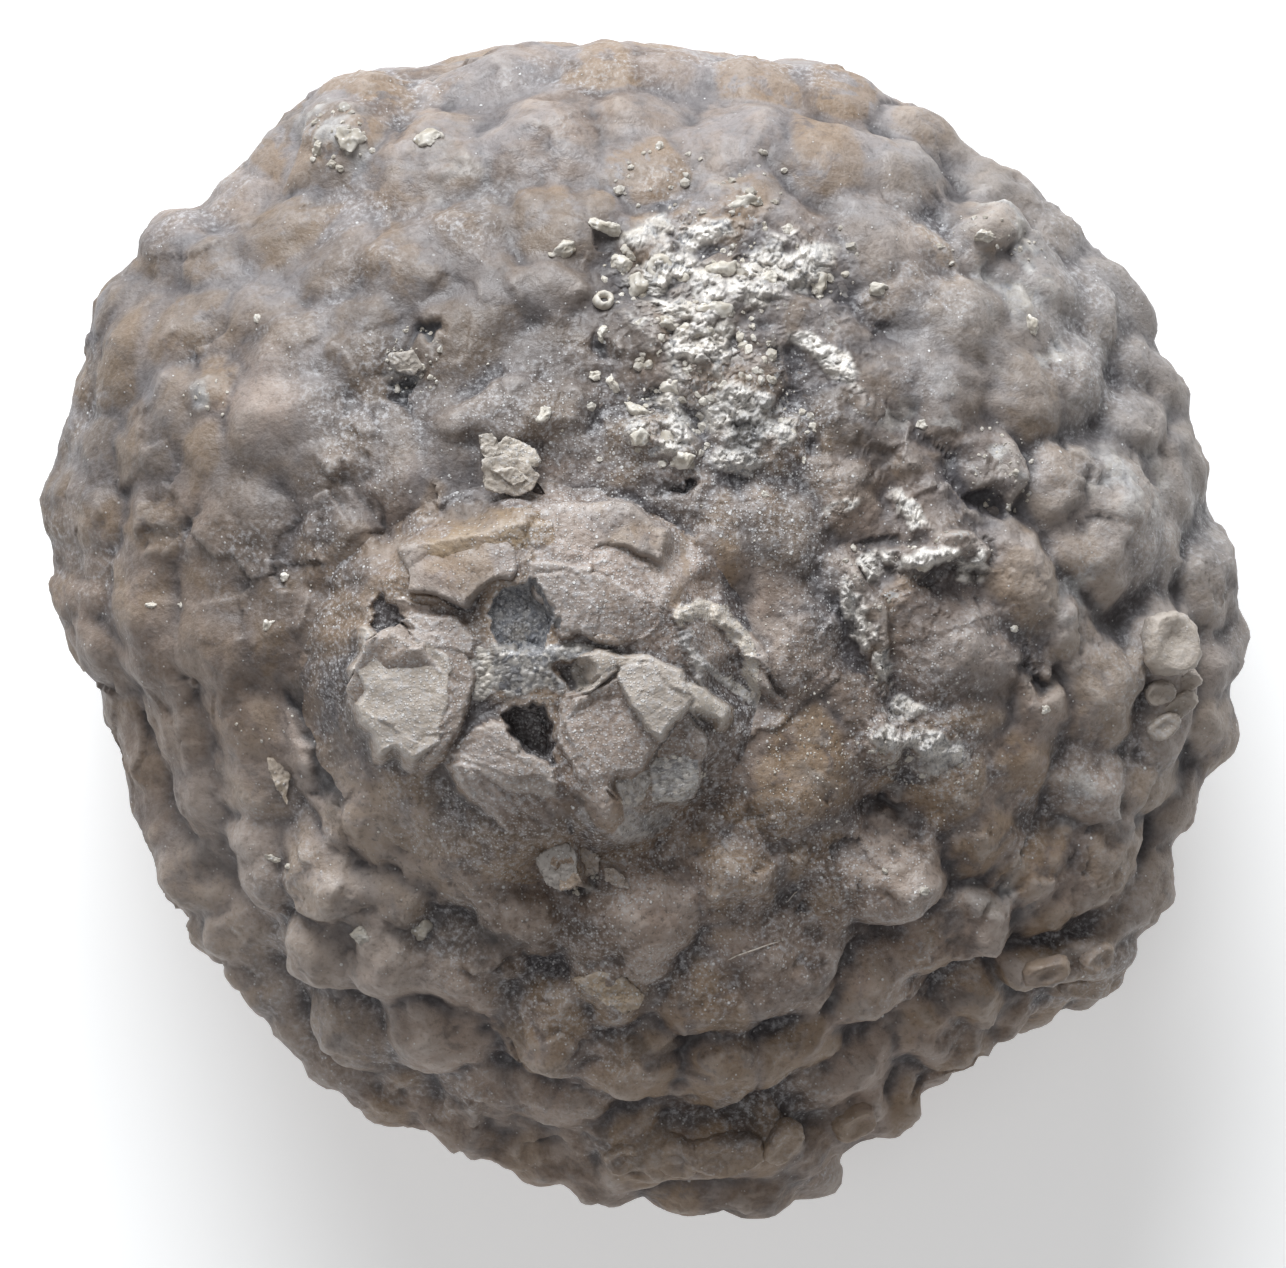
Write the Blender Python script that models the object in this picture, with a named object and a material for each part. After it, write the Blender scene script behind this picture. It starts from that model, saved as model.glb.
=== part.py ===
"""Fossil crinoid: the loose calyx of a camerate sea lily, turned to stone.

One solid, in metres with +Z up. It lies as it would on a shelf: on the flat ring under its cup, with
the plated dome on top. The origin is on the resting plane, under the middle of the body's box.

The plain body is a closed, round form: a dome above the rim and a cup below it. Everything on it is
relief along its normals: the plates and the creases between them, the broken stub of the tube on the
crown, pits, ridges, crusts of matrix, the stubs of the arms round the rim and the stem facet below.
"""

import math
import random

import bmesh
import bpy
import numpy as np
from mathutils import Vector, noise

MM = 0.001

# Driving dimensions, in millimetres.
HEIGHT = 16.0  # from the resting plane to the crown, without the stub
RIM_HEIGHT = 7.0  # the widest line round the body
CROWN = (-2.1, -0.5)  # the crown in plan, off centre
DOME_POWERS = (2.3, 0.62)  # how full the dome is
CURL = 0.45  # the share of the underside, along its profile, that curls in from the rim
FOOT_OUTER = 0.66  # the resting ring's edges, as shares of the rim's radius
FOOT_INNER = 0.56
HOLLOW = 1.4  # how far the middle of the cup is above the resting plane
HOLLOW_FADE = 0.26
NOTCH_SPAN = math.radians(14)  # notches of the rim narrower than this fade out up the dome
NOTCH_FADE = 3
STEM_RADIUS = 2.4  # the facet that the stem was joined to
STEM_RIM = (0.7, 0.5)  # the width and height of its rim
LUMEN = (0.7, 0.4, 1.1)  # the canal through it: radius, width of its edge, depth
STUB_MIDDLE = (-2.5, -0.7)  # the broken stub of the tube on the crown
STUB_RADIUS = 4.3
STUB_SWELL = 1.9
STUB_EASE = 1.3  # over 1 makes the swelling's edge steeper
PLATE_BOW = 0.34  # how much a plate curves down towards its edge
PLATE_TILT = 0.16
PLATE_SIZE = 1.1  # the usual plate's radius
PLATE_SIZE_RISE = 0.32  # how much higher a larger plate stands
PLATE_STEP = 0.12  # how unevenly the plates stand
PLATE_STRETCH = (0.1, 0.65)  # how much longer a plate is around the body than up it
CREASE_SHARPNESS = 10.0
CREASE_DEPTH = 0.6
CREASE_WANDER = 0.35  # how far the creases stray from straight lines
SKIN = 0.2  # how far the relief stands out from the plain body on the whole
SWAY = (5.0, 0.3)  # the length and height of the slow waves in the surface
RUMPLE = (1.1, 0.07)  # and of the small ones
RAYS = 5
FIRST_RAY = math.radians(2)
RIM_PLATES = 46
RIM_PLATE = (0.975, 1.25)  # where they are, as a share of the rim's radius, and their radius
# Rings of the cup's plates: share of the rim's radius, number, radius of a plate.
CUP_RINGS = [
    (0.28, RAYS, 1.7), (0.47, 2 * RAYS, 1.5), (0.84, 7 * RAYS, 1.3), (0.93, 8 * RAYS, 1.2),
    (0.985, 9 * RAYS, 1.2),
]

# How the mesh is made.
CUTS = 63  # along each side of the cube that the body starts from
RIM_SHARE = 0.68  # the share of the mesh, from crown to base, that is above the rim
RIM_BAND = 0.05  # the share of the mesh beside the rim where the relief is lower
SPREAD = 1.3  # over 1 crowds the mesh towards the crown
TRIANGLES = 9600
RING_SNAP = 0.02  # what is this near to the resting plane lies in it
SMOOTH_ANGLE = math.radians(50)
SEED = 7

# The rim seen from above, clockwise from the back, in millimetres.
OUTLINE = [
    (-1.1, 14.7), (0.9, 14.6), (2.9, 14.35), (4.3, 14.2), (5.2, 13.9), (6.4, 13.4), (7.7, 12.65),
    (8.9, 11.8), (10.3, 10.8), (11.4, 9.8), (12.4, 8.5), (13.05, 7.2), (13.7, 5.7), (14.1, 4.35),
    (14.45, 2.85), (14.7, 2.1), (15.0, 0.2), (15.0, -0.5), (14.8, -2.0), (14.5, -3.15), (14.0, -4.4),
    (13.4, -5.5), (13.1, -6.5), (12.6, -7.1), (12.4, -7.65), (12.3, -8.65), (11.7, -9.2), (10.4, -9.8),
    (8.9, -10.3), (8.3, -10.65), (7.3, -11.5), (5.7, -12.65), (4.75, -13.3), (4.5, -13.9),
    (3.9, -14.3), (2.7, -14.65), (1.7, -14.7), (-0.1, -14.5), (-1.1, -14.3), (-2.3, -13.8),
    (-3.6, -13.4), (-5.3, -12.8), (-6.7, -12.15), (-7.45, -11.45), (-8.4, -10.7), (-9.6, -9.7),
    (-10.1, -8.9), (-10.45, -8.35), (-11.1, -7.9), (-11.3, -7.15), (-11.9, -6.3), (-12.2, -5.5),
    (-12.6, -4.65), (-12.8, -3.9), (-13.3, -2.65), (-13.75, -1.65), (-14.3, -0.7), (-14.8, 0.2),
    (-14.8, 1.0), (-14.65, 1.3), (-14.75, 2.1), (-15.0, 3.5), (-14.8, 4.1), (-14.65, 4.7),
    (-14.4, 6.0), (-14.1, 6.7), (-13.65, 8.1), (-13.2, 8.8), (-12.7, 9.35), (-12.45, 10.0),
    (-11.8, 10.5), (-10.95, 10.65), (-9.8, 11.45), (-8.95, 12.5), (-8.1, 13.5), (-7.2, 13.9),
    (-6.1, 14.1), (-4.3, 14.4), (-3.3, 14.65),
]

# The dome's plates: the middle of each in plan and its radius, in millimetres.
PLATES_ABOVE_CROWN = [
    (-2.6, 5.0, 1.7), (-0.4, 5.0, 1.1), (-4.8, 5.2, 1.1), (-5.1, 3.2, 1.0), (1.2, 4.0, 1.0),
    (2.9, 4.7, 1.2), (5.2, 5.1, 1.4), (4.9, 3.7, 1.0), (-4.1, 7.0, 1.3), (-2.1, 6.9, 1.1),
    (-0.1, 7.0, 1.1), (1.9, 6.5, 1.1), (1.7, 8.2, 1.1), (3.7, 7.7, 1.2), (4.9, 7.1, 1.2),
    (5.9, 6.1, 1.1), (-4.1, 8.5, 1.0), (-2.2, 8.4, 1.2), (6.4, 8.2, 1.2),
]
PLATES_BACK = [
    (-7.6, 12.5, 1.3), (-5.3, 12.2, 1.3), (-2.3, 12.2, 1.7), (-0.1, 13.0, 1.0), (0.2, 11.5, 1.1),
    (2.4, 12.2, 1.3), (4.7, 12.0, 1.3), (6.7, 11.5, 1.3), (-9.0, 10.1, 1.0), (-7.6, 9.0, 1.1),
    (-6.1, 9.2, 1.2), (-4.3, 9.9, 1.1), (-2.1, 9.9, 1.1), (-0.1, 9.9, 1.0), (2.2, 10.5, 1.3),
    (3.9, 9.7, 1.2), (5.7, 9.9, 1.2), (7.3, 9.5, 1.0), (8.6, 9.9, 1.1), (9.9, 9.0, 1.1),
]
PLATES_LEFT = [
    (-12.1, 9.5, 1.1), (-10.6, 9.7, 1.0), (-13.1, 7.1, 1.2), (-11.3, 7.7, 1.1), (-9.7, 8.0, 1.1),
    (-11.8, 5.9, 1.0), (-10.8, 5.7, 0.8), (-8.8, 7.0, 1.2), (-7.3, 7.0, 1.2), (-9.1, 5.0, 1.5),
    (-13.7, 4.7, 1.1), (-12.3, 4.5, 1.1), (-14.1, 3.0, 1.1), (-10.8, 4.2, 1.2), (-7.4, 4.0, 1.1),
    (-6.1, 4.2, 1.0), (-13.9, 1.5, 1.1), (-12.3, 2.5, 1.0), (-12.4, 1.0, 1.1), (-10.3, 2.5, 1.4),
    (-10.6, 1.0, 1.0), (-7.3, 2.2, 1.3), (-8.9, 1.0, 0.9), (-7.5, 0.2, 1.1), (-13.7, -0.5, 1.1),
    (-12.3, -0.8, 1.1), (-10.8, -0.5, 1.2), (-11.6, -2.3, 1.1), (-9.9, -2.3, 1.3),
    (-7.7, -1.5, 1.2), (-9.3, -0.8, 1.0), (-12.7, -4.0, 1.1), (-11.2, -4.0, 1.1),
    (-9.7, -4.0, 1.2), (-8.2, -3.3, 1.1), (-6.8, -4.3, 1.5),
]
PLATES_RIGHT = [
    (7.9, 7.5, 1.3), (9.7, 7.5, 0.9), (11.2, 8.0, 1.1), (12.4, 7.0, 1.0), (7.9, 5.7, 1.3),
    (9.7, 5.7, 1.2), (11.1, 6.2, 1.1), (12.4, 5.0, 1.2), (6.7, 4.0, 1.2), (8.9, 4.0, 1.0),
    (10.4, 3.7, 1.2), (11.8, 3.2, 1.2), (13.3, 3.7, 1.1), (1.9, 2.0, 1.2), (3.4, 2.5, 1.1),
    (3.7, 0.7, 1.2), (5.2, 1.7, 1.1), (7.2, 2.1, 1.2), (6.4, 0.5, 1.1), (8.5, 2.2, 0.9),
    (9.7, 1.2, 1.4), (11.3, 1.7, 1.1), (12.9, 2.0, 1.1), (14.2, 1.0, 1.0), (3.9, -0.8, 1.1),
    (5.4, -1.8, 1.0), (7.4, -0.5, 1.6), (8.9, 0.0, 1.0), (7.9, -2.3, 1.3), (10.6, -0.3, 0.9),
    (9.8, -1.5, 0.9), (11.4, -1.8, 1.1), (13.0, -0.5, 1.1), (14.3, -1.0, 1.0), (13.2, -2.3, 1.0),
    (3.7, -3.5, 1.9), (2.2, -2.8, 1.0), (5.9, -3.3, 1.1), (4.4, -5.3, 1.0), (7.9, -3.8, 1.1),
    (9.7, -3.3, 1.2), (11.3, -3.9, 1.1), (12.7, -4.0, 1.1),
]
PLATES_FRONT = [
    (-11.3, -6.3, 1.1), (-9.8, -5.8, 1.3), (-8.1, -6.0, 1.2), (-6.3, -6.5, 1.0), (-4.8, -5.8, 1.5),
    (-2.8, -7.3, 1.1), (0.2, -7.0, 1.9), (2.4, -6.0, 1.2), (2.7, -7.8, 1.1), (6.7, -6.3, 1.3),
    (4.9, -6.8, 1.1), (8.6, -5.5, 1.3), (10.2, -5.8, 1.1), (11.7, -5.5, 1.1), (-10.0, -7.9, 1.1),
    (-8.3, -8.3, 1.1), (-6.2, -8.4, 1.4), (-4.2, -8.5, 1.2), (-7.5, -10.0, 1.1),
    (-5.3, -10.3, 1.2), (-2.5, -10.2, 1.3), (-0.6, -9.0, 1.1), (1.4, -9.5, 1.3), (3.7, -8.7, 1.5),
    (5.7, -9.5, 1.2), (7.3, -8.3, 1.3), (8.7, -7.5, 1.1), (8.4, -9.4, 1.0), (10.4, -7.0, 1.0),
    (11.8, -6.9, 1.0), (-6.1, -11.5, 1.1), (-4.3, -11.8, 1.2), (-2.3, -12.0, 1.2),
    (-0.3, -11.0, 1.3), (1.9, -11.3, 1.3), (3.9, -10.8, 1.3), (5.4, -11.3, 1.1),
    (7.2, -10.5, 1.1), (5.2, -12.4, 0.8), (-0.1, -13.3, 1.1), (1.7, -13.4, 1.0),
    (3.4, -13.0, 1.0), (-1.6, -13.3, 1.0),
]

# The broken stub on the crown: blocks with flat broken tops. Each has its corners in plan, the
# height of its top above the dome, and the slope of the top towards the right and the back.
STUB_BLOCKS = [
    # the plates at the back, which fall away behind
    ([(-6.1, 2.0), (-5.3, 3.1), (-3.6, 3.4), (-2.4, 2.9), (-2.6, 1.8), (-3.7, 2.3)],
     1.4, 0.06, -0.5),
    ([(-2.9, 3.3), (-1.1, 3.5), (0.1, 3.3), (0.7, 2.5), (0.8, 1.4), (0.4, 0.6), (-1.3, 1.7), (-2.6, 1.7)],
     1.4, -0.1, -0.5),
    # the ochre face
    ([(-6.0, 2.0), (-5.1, 2.2), (-3.0, 2.5), (-2.8, 1.6), (-3.2, 1.0), (-4.1, 0.6), (-5.1, 0.7),
      (-6.0, 1.5)],
     1.5, 0.1, 0.15),
    # the cracked chip
    ([(-2.9, 1.6), (-1.3, 1.6), (-0.2, 0.9), (0.5, 0.3), (-0.1, -0.3), (-1.9, -0.1), (-2.9, 1.1)],
     1.95, -0.06, 0.02),
    # the pale chunk on the left
    ([(-6.9, -0.1), (-5.5, -0.3), (-4.9, -0.8), (-4.8, -1.8), (-5.1, -2.8), (-6.1, -2.9), (-6.9, -2.2),
      (-7.1, -1.1)],
     1.85, 0.0, -0.2),
    # the long chip and its flank
    ([(-4.8, -3.0), (-4.2, -2.6), (-3.6, -2.4), (-2.5, -3.0), (-2.2, -3.8), (-3.1, -3.6)],
     1.8, 0.03, -0.1),
    ([(-4.6, -3.4), (-2.2, -3.9), (-1.1, -4.3), (-0.3, -5.1), (-1.0, -5.5), (-2.2, -5.4), (-3.4, -4.9)],
     1.3, -0.14, 0.4),
    # the wedge and its slab
    ([(-2.0, -1.6), (-1.3, -1.4), (-0.6, -1.0), (0.1, -2.6), (-0.1, -3.4), (-1.1, -4.2), (-2.0, -2.7)],
     1.85, 0.1, -0.05),
    ([(-0.7, -0.9), (0.2, -0.8), (0.9, -1.1), (1.1, -1.7), (0.4, -2.7), (-0.2, -1.9)],
     2.05, -0.06, -0.1),
    # loose chips stuck to the dome
    ([(-4.1, 4.9), (-3.3, 4.9), (-2.5, 4.4), (-2.6, 3.6), (-3.1, 3.3), (-3.9, 3.5)], 0.85, 0.05, -0.2),
    ([(-2.6, -5.5), (-1.7, -5.3), (-1.0, -5.7), (-1.2, -6.4), (-2.0, -6.7), (-2.7, -6.0)], 0.8, 0.0, 0.2),
    ([(-1.8, -8.7), (-0.8, -8.5), (0.0, -9.2), (-0.4, -9.6), (-1.4, -9.1)], 0.6, 0.0, 0.2),
]
BLOCK_EDGE = 0.35  # how wide a block's sides are

# Rounded lumps: middle in plan, half-lengths along and across, turn in degrees, height.
LUMPS = [
    (2.6, -0.4, 1.6, 0.3, -60, 0.4),  # the raised rim right of the stub
    (5.6, 0.2, 0.3, 1.6, 15, 0.35),  # the crack filled with crust, and the crust at its ends
    (7.4, 1.9, 1.1, 0.4, 5, 0.5),
    (6.0, -2.7, 0.6, 0.6, 0, 0.5),
    (9.0, 4.0, 0.4, 0.8, 10, 0.45),
    (8.6, 9.9, 0.9, 0.5, 0, 0.35),
    (-10.9, 5.7, 0.5, 0.5, 0, 0.3),
    (-7.6, 12.4, 0.7, 0.6, 0, 0.3),
    (10.5, -0.1, 0.3, 0.9, 10, 0.25),
    (6.9, -6.4, 0.8, 0.6, 0, 0.3),
    (0.9, 6.7, 1.0, 1.4, 20, 0.35),  # the patch of grit behind the stub
    (2.9, 7.8, 1.6, 0.7, 0, 0.25),
    (0.4, 4.7, 0.8, 0.6, 0, 0.35),
    (-3.0, 5.4, 2.0, 0.7, 8, 0.35),  # long plates behind it
    (-2.4, 8.3, 1.0, 0.6, 0, 0.3),
]
LUMP_EASE = 1.6  # over 1 makes their edges steeper

# Pits: middle in plan, half-lengths along and across, turn in degrees, depth.
PITS = [
    (-2.9, 0.1, 0.9, 0.8, 0, 1.0),
    (-3.1, -2.2, 0.8, 0.5, 20, 1.5),
    (-3.0, -1.1, 0.9, 0.6, 0, 0.5),
    (-5.4, 7.3, 0.6, 0.3, 15, 0.5),
    (-5.85, 5.95, 0.3, 0.6, -12, 0.5),
    (6.6, -5.0, 1.0, 0.6, 10, 0.5),
    (9.8, -1.2, 0.6, 0.4, -15, 0.45),
    (5.3, 4.4, 1.3, 0.5, -10, 0.2),
    (-12.0, 2.4, 0.6, 0.7, 0, 0.25),
    (2.9, -9.9, 1.2, 0.5, 0, 0.2),
    (8.4, 3.2, 0.5, 0.3, 0, 0.3),
    (1.9, -6.4, 1.0, 0.4, -30, 0.15),
    (-7.6, -2.6, 0.8, 2.2, 15, 0.3),
]
PIT_EASE = 1.4

# Stubs of the arms: a row of thin round plates from the first place to the last, their half-width,
# half-thickness, height and number.
ARM_STUBS = [
    ((13.0, -0.5), (13.0, -0.6), 0.8, 0.8, 0.5, 1),
    ((13.4, -1.5), (13.0, -2.9), 0.6, 0.24, 0.4, 4),
    ((9.5, -8.7), (10.6, -8.4), 0.4, 0.36, 0.5, 3),
    ((11.0, -8.2), (11.7, -8.1), 0.5, 0.3, 0.4, 3),
    ((-0.4, -13.5), (3.4, -13.0), 0.5, 0.4, 0.3, 6),
    ((5.2, -12.3), (5.7, -12.0), 0.4, 0.3, 0.3, 2),
]
ARM_EASE = 2.0


def smooth(value):
    """0 to 1 with no corner at either end."""
    value = np.clip(value, 0.0, 1.0)
    return value * value * (3.0 - 2.0 * value)


def closed_curve(points, steps=10):
    """Points on a smooth closed curve through the given ones."""
    p = np.array(points)
    before, after, second = np.roll(p, 1, 0), np.roll(p, -1, 0), np.roll(p, -2, 0)
    t = (np.arange(steps) / steps)[None, :, None]
    a, b, c, d = (q[:, None, :] for q in (before, p, after, second))
    bends = (2 * b, c - a, 2 * a - 5 * b + 4 * c - d, 3 * b - a - 3 * c + d)
    return 0.5 * sum(bend * t**power for power, bend in enumerate(bends)).reshape(-1, 2)


def rim_line():
    """The rim's angles seen from the crown, in order, and its radius at each."""
    away = closed_curve(OUTLINE) - np.array(CROWN)
    angles = np.arctan2(away[:, 1], away[:, 0])
    order = np.argsort(angles)
    return angles[order], np.hypot(*away.T)[order]


RIM_LINE = rim_line()


def rim_radius(turn, out=1.0):
    """The body's radius from the crown in plan at these angles. Small notches of the rim fade inwards."""
    sides = np.linspace(-NOTCH_SPAN, NOTCH_SPAN, 9)
    plain = sum(np.interp(turn + side, *RIM_LINE, period=math.tau) for side in sides) / len(sides)
    return plain + (np.interp(turn, *RIM_LINE, period=math.tau) - plain) * out**NOTCH_FADE


def dome_height(out):
    """The plain dome's height, out being 0 at the crown and 1 at the rim."""
    full, steep = DOME_POWERS
    return RIM_HEIGHT + (HEIGHT - RIM_HEIGHT) * (1.0 - np.clip(out, 0, 1) ** full) ** steep


def plain_body(share, turn):
    """Points of the body without its relief. share is 0 at the crown and 1 under the middle."""
    above = np.minimum(share / RIM_SHARE, 1.0) ** SPREAD
    below = np.clip((share - RIM_SHARE) / (1.0 - RIM_SHARE), 0.0, 1.0)
    quarter = np.minimum(below / CURL, 1.0) * math.pi / 2
    out = np.where(
        below > CURL,
        FOOT_OUTER * (1.0 - below) / (1.0 - CURL),
        np.where(below > 0, FOOT_OUTER + (1 - FOOT_OUTER) * np.cos(quarter), np.sin(above * math.pi / 2)),
    )
    hollow = HOLLOW * smooth((FOOT_INNER - out) / HOLLOW_FADE)
    low = np.where(below > CURL, hollow, RIM_HEIGHT * (1.0 - np.sin(quarter)))
    height = np.where(below > 0, low, dome_height(out))
    middle = np.where(below[:, None] > 0, 0.0, np.array(CROWN))
    reach = rim_radius(turn, out)
    rim = np.array(CROWN) + np.stack([reach * np.cos(turn), reach * np.sin(turn)], axis=1)
    plan = middle * (1 - out[:, None]) + rim * out[:, None]
    return np.column_stack([plan, height])


def on_dome(x, y):
    """The point of the plain dome at a place in plan."""
    away = np.array([x - CROWN[0], y - CROWN[1]])
    turn = math.atan2(away[1], away[0])
    out = min(math.hypot(*away) / float(rim_radius(turn)), 0.99)
    return np.array([x, y, float(dome_height(out))])


def under_rim(out):
    """The plain cup's height between the resting ring and the rim."""
    return RIM_HEIGHT * (1.0 - math.sqrt(1.0 - ((out - FOOT_OUTER) / (1.0 - FOOT_OUTER)) ** 2))


def cup_plates():
    """The cup's plates: five basals, ten above them, then three rings up the flank."""
    plates = []
    for out, count, radius in CUP_RINGS:
        for place in range(count):
            turn = FIRST_RAY + place * math.tau / count
            reach = out * float(rim_radius(turn))
            height = under_rim(out) if out > FOOT_OUTER else HOLLOW
            plates.append((np.array([reach * math.cos(turn), reach * math.sin(turn), height]), radius))
    return plates


def rim_plates():
    """The plates that turn over the rim."""
    share, radius = RIM_PLATE
    plates = []
    for place in range(RIM_PLATES):
        turn = place * math.tau / RIM_PLATES
        reach = share * float(rim_radius(turn))
        plates.append((CROWN[0] + reach * math.cos(turn), CROWN[1] + reach * math.sin(turn), radius))
    return plates


def all_plates():
    dome = PLATES_ABOVE_CROWN + PLATES_BACK + PLATES_LEFT + PLATES_RIGHT + PLATES_FRONT + rim_plates()
    return [(on_dome(x, y), radius) for x, y, radius in dome] + cup_plates()


def waves(points, length, octaves=1):
    """Smooth noise, about -1 to 1, with waves this long in millimetres."""
    return np.array([noise.fractal(Vector(p) / length, 1.0, 2.0, octaves) for p in points])


def wandering(points, length, reach):
    """The points moved about by smooth noise, so that what is drawn through them isn't straight."""
    return points + reach * np.array([noise.noise_vector(Vector(p) / length) for p in points])


def plate_relief(points):
    """A low cap on each plate, longer around the body than up it. The caps meet in creases."""
    moved = wandering(wandering(points, 1.9, CREASE_WANDER), 0.7, 0.4 * CREASE_WANDER)
    luck = random.Random(SEED)
    total = np.full(len(points), math.exp(-CREASE_SHARPNESS * CREASE_DEPTH))
    for middle, radius in all_plates():
        top = PLATE_SIZE_RISE * (radius - PLATE_SIZE) + luck.uniform(-PLATE_STEP, PLATE_STEP)
        tilt = np.array([luck.uniform(-1, 1) for _ in range(3)]) * PLATE_TILT
        around = np.array([-middle[1], middle[0], luck.uniform(-6, 6)])
        around /= np.linalg.norm(around)
        away = moved - middle
        spread = (away**2).sum(axis=1) - luck.uniform(*PLATE_STRETCH) * (away @ around) ** 2
        total += np.exp(CREASE_SHARPNESS * (top + away @ tilt - PLATE_BOW / radius * spread))
    return np.log(total) / CREASE_SHARPNESS


def worn(points):
    """How much of the plates' relief is left: less at the back and on the left, more at the front."""
    back = smooth((points[:, 1] - 2.0) / 6.0)
    left = smooth((-4.0 - points[:, 0]) / 7.0)
    front = smooth((-3.0 - points[:, 1]) / 4.0)
    left_over = 1.0 - 0.5 * back - 0.35 * left + 0.4 * front
    return np.where(points[:, 2] > RIM_HEIGHT * 0.3, left_over, 1.0)


def mound(points, x, y, along, across, degrees, ease=1.0):
    """1 in the middle of an oval in plan and 0 outside it."""
    turn = math.radians(degrees)
    away = points[:, :2] - np.array([x, y])
    u = away @ np.array([math.cos(turn), math.sin(turn)]) / along
    v = away @ np.array([-math.sin(turn), math.cos(turn)]) / across
    return np.where(points[:, 2] > RIM_HEIGHT * 0.6, smooth((1.25 - np.hypot(u, v)) * ease), 0.0)


def block(points, corners, height, right, back):
    """Where a block with a flat, sloping top stands, from 0 outside its corners to 1, and its top."""
    corners = np.array(corners)
    middle = corners.mean(axis=0)
    inside = np.full(len(points), np.inf)
    for start, end in zip(corners, np.roll(corners, -1, axis=0)):
        side = (end - start) / np.linalg.norm(end - start)
        inward = np.array([side[1], -side[0]])
        inside = np.minimum(inside, (points[:, :2] - start) @ inward)
    top = height + (points[:, :2] - middle) @ np.array([right, back])
    return np.where(points[:, 2] > RIM_HEIGHT, smooth(inside / BLOCK_EDGE), 0.0), top


def stem_facet(points):
    """The round rim that the stem was joined to, and the canal through it."""
    out = np.hypot(points[:, 0], points[:, 1])
    width, height = STEM_RIM
    radius, edge, depth = LUMEN
    rim = height * smooth(1 - np.abs(out - STEM_RADIUS) / width)
    canal = -depth * smooth((radius - out) / edge + 0.5)
    return np.where(points[:, 2] < RIM_HEIGHT * 0.4, rim + canal, 0.0)


def arm_stubs(points, out):
    """The relief with the stubs of the arms standing on it."""
    for first, last, half_width, half_thick, height, count in ARM_STUBS:
        first, last = np.array(first), np.array(last)
        degrees = math.degrees(math.atan2(last[1] - first[1], last[0] - first[0]))
        for way in np.linspace(0, 1, count):
            x, y = first + (last - first) * way
            share = mound(points, x, y, half_thick, half_width, degrees, ARM_EASE)
            out = out + share * np.maximum(height - out, 0.0)
    return out


def relief(points):
    """How far each point of the plain body moves out along its normal."""
    moved = wandering(points, 1.3, 0.25)
    sway, sway_height = SWAY
    out = plate_relief(points) * worn(points) + sway_height * waves(points, sway) + SKIN
    out += STUB_SWELL * mound(moved, *STUB_MIDDLE, STUB_RADIUS, STUB_RADIUS, 0, STUB_EASE)
    for x, y, along, across, degrees, height in LUMPS:
        out += height * mound(moved, x, y, along, across, degrees, LUMP_EASE)
    for corners, height, right, back in STUB_BLOCKS:
        share, top = block(points, corners, height, right, back)
        out += share * np.maximum(top - out, 0.0)
    for x, y, along, across, degrees, depth in PITS:
        out -= depth * mound(moved, x, y, along, across, degrees, PIT_EASE)
    rumple, rumple_height = RUMPLE
    return arm_stubs(points, out) + rumple_height * waves(points, rumple, 3) + stem_facet(points)


def normals_of(mesh, points):
    mesh.vertices.foreach_set("co", points.ravel())
    mesh.update()
    return np.array([v.normal for v in mesh.vertices])


def ball():
    """A cube with even squares on each side, as a mesh and its corners' directions."""
    shape = bmesh.new()
    bmesh.ops.create_cube(shape, size=2.0)
    bmesh.ops.subdivide_edges(shape, edges=shape.edges[:], cuts=CUTS, use_grid_fill=True)
    mesh = bpy.data.meshes.new("calyx")
    shape.to_mesh(mesh)
    shape.free()
    even = np.tan(np.array([v.co for v in mesh.vertices]) * math.pi / 4)
    return mesh, even / np.linalg.norm(even, axis=1)[:, None]


def fewer_faces(mesh):
    """The same shape with fewer triangles, its resting ring exactly flat."""
    piece = bpy.data.objects.new("full", mesh)
    bpy.context.scene.collection.objects.link(piece)
    thin = piece.modifiers.new("fewer faces", "DECIMATE")
    thin.ratio = TRIANGLES / (2 * len(mesh.polygons))
    made = bpy.data.meshes.new_from_object(piece.evaluated_get(bpy.context.evaluated_depsgraph_get()))
    bpy.data.objects.remove(piece)
    for vertex in made.vertices:
        if vertex.co.z < RING_SNAP * MM:
            vertex.co.z = 0.0
    made.shade_smooth()
    made.set_sharp_from_angle(angle=SMOOTH_ANGLE)
    return made


def calyx():
    mesh, way = ball()
    share = np.arccos(np.clip(way[:, 2], -1, 1)) / math.pi
    turn = np.arctan2(way[:, 1], way[:, 0])
    points = plain_body(share, turn)
    normals = normals_of(mesh, points)
    # The rim keeps half its relief, and the resting ring has none, so that it stays flat.
    rim = smooth(1.0 - np.abs(share - RIM_SHARE) / RIM_BAND)
    under = (share > RIM_SHARE) * (np.hypot(points[:, 0], points[:, 1]) > STEM_RADIUS * 1.6)
    clear = np.where(under, smooth((points[:, 2] - 0.1) / 1.2), 1.0)
    height = relief(points) * (1.0 - 0.5 * rim) * clear
    points = points + normals * height[:, None]
    points[:, 2] = np.maximum(points[:, 2], 0.0)
    mesh.vertices.foreach_set("co", (points * MM).ravel())
    mesh.update()
    return bpy.data.objects.new("calyx", fewer_faces(mesh))


def stone():
    material = bpy.data.materials.new("silicified crinoid")
    material.use_nodes = True
    surface = material.node_tree.nodes["Principled BSDF"]
    surface.inputs["Base Color"].default_value = (0.215, 0.190, 0.170, 1.0)
    surface.inputs["Roughness"].default_value = 0.55
    surface.inputs["Metallic"].default_value = 0.0
    return material


def main():
    for old in list(bpy.data.objects):
        bpy.data.objects.remove(old)
    collection = bpy.data.collections.new("fossil crinoid")
    bpy.context.scene.collection.children.link(collection)
    # Without a seed, the noise that moves points about would follow the clock.
    noise.seed_set(SEED)
    piece = calyx()
    piece.data.materials.append(stone())
    collection.objects.link(piece)


main()
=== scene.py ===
"""Looks of the fossil crinoid calyx: its fine surface, loose chips, grit and dust, stone and studio."""

import functools
import math
import random

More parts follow.
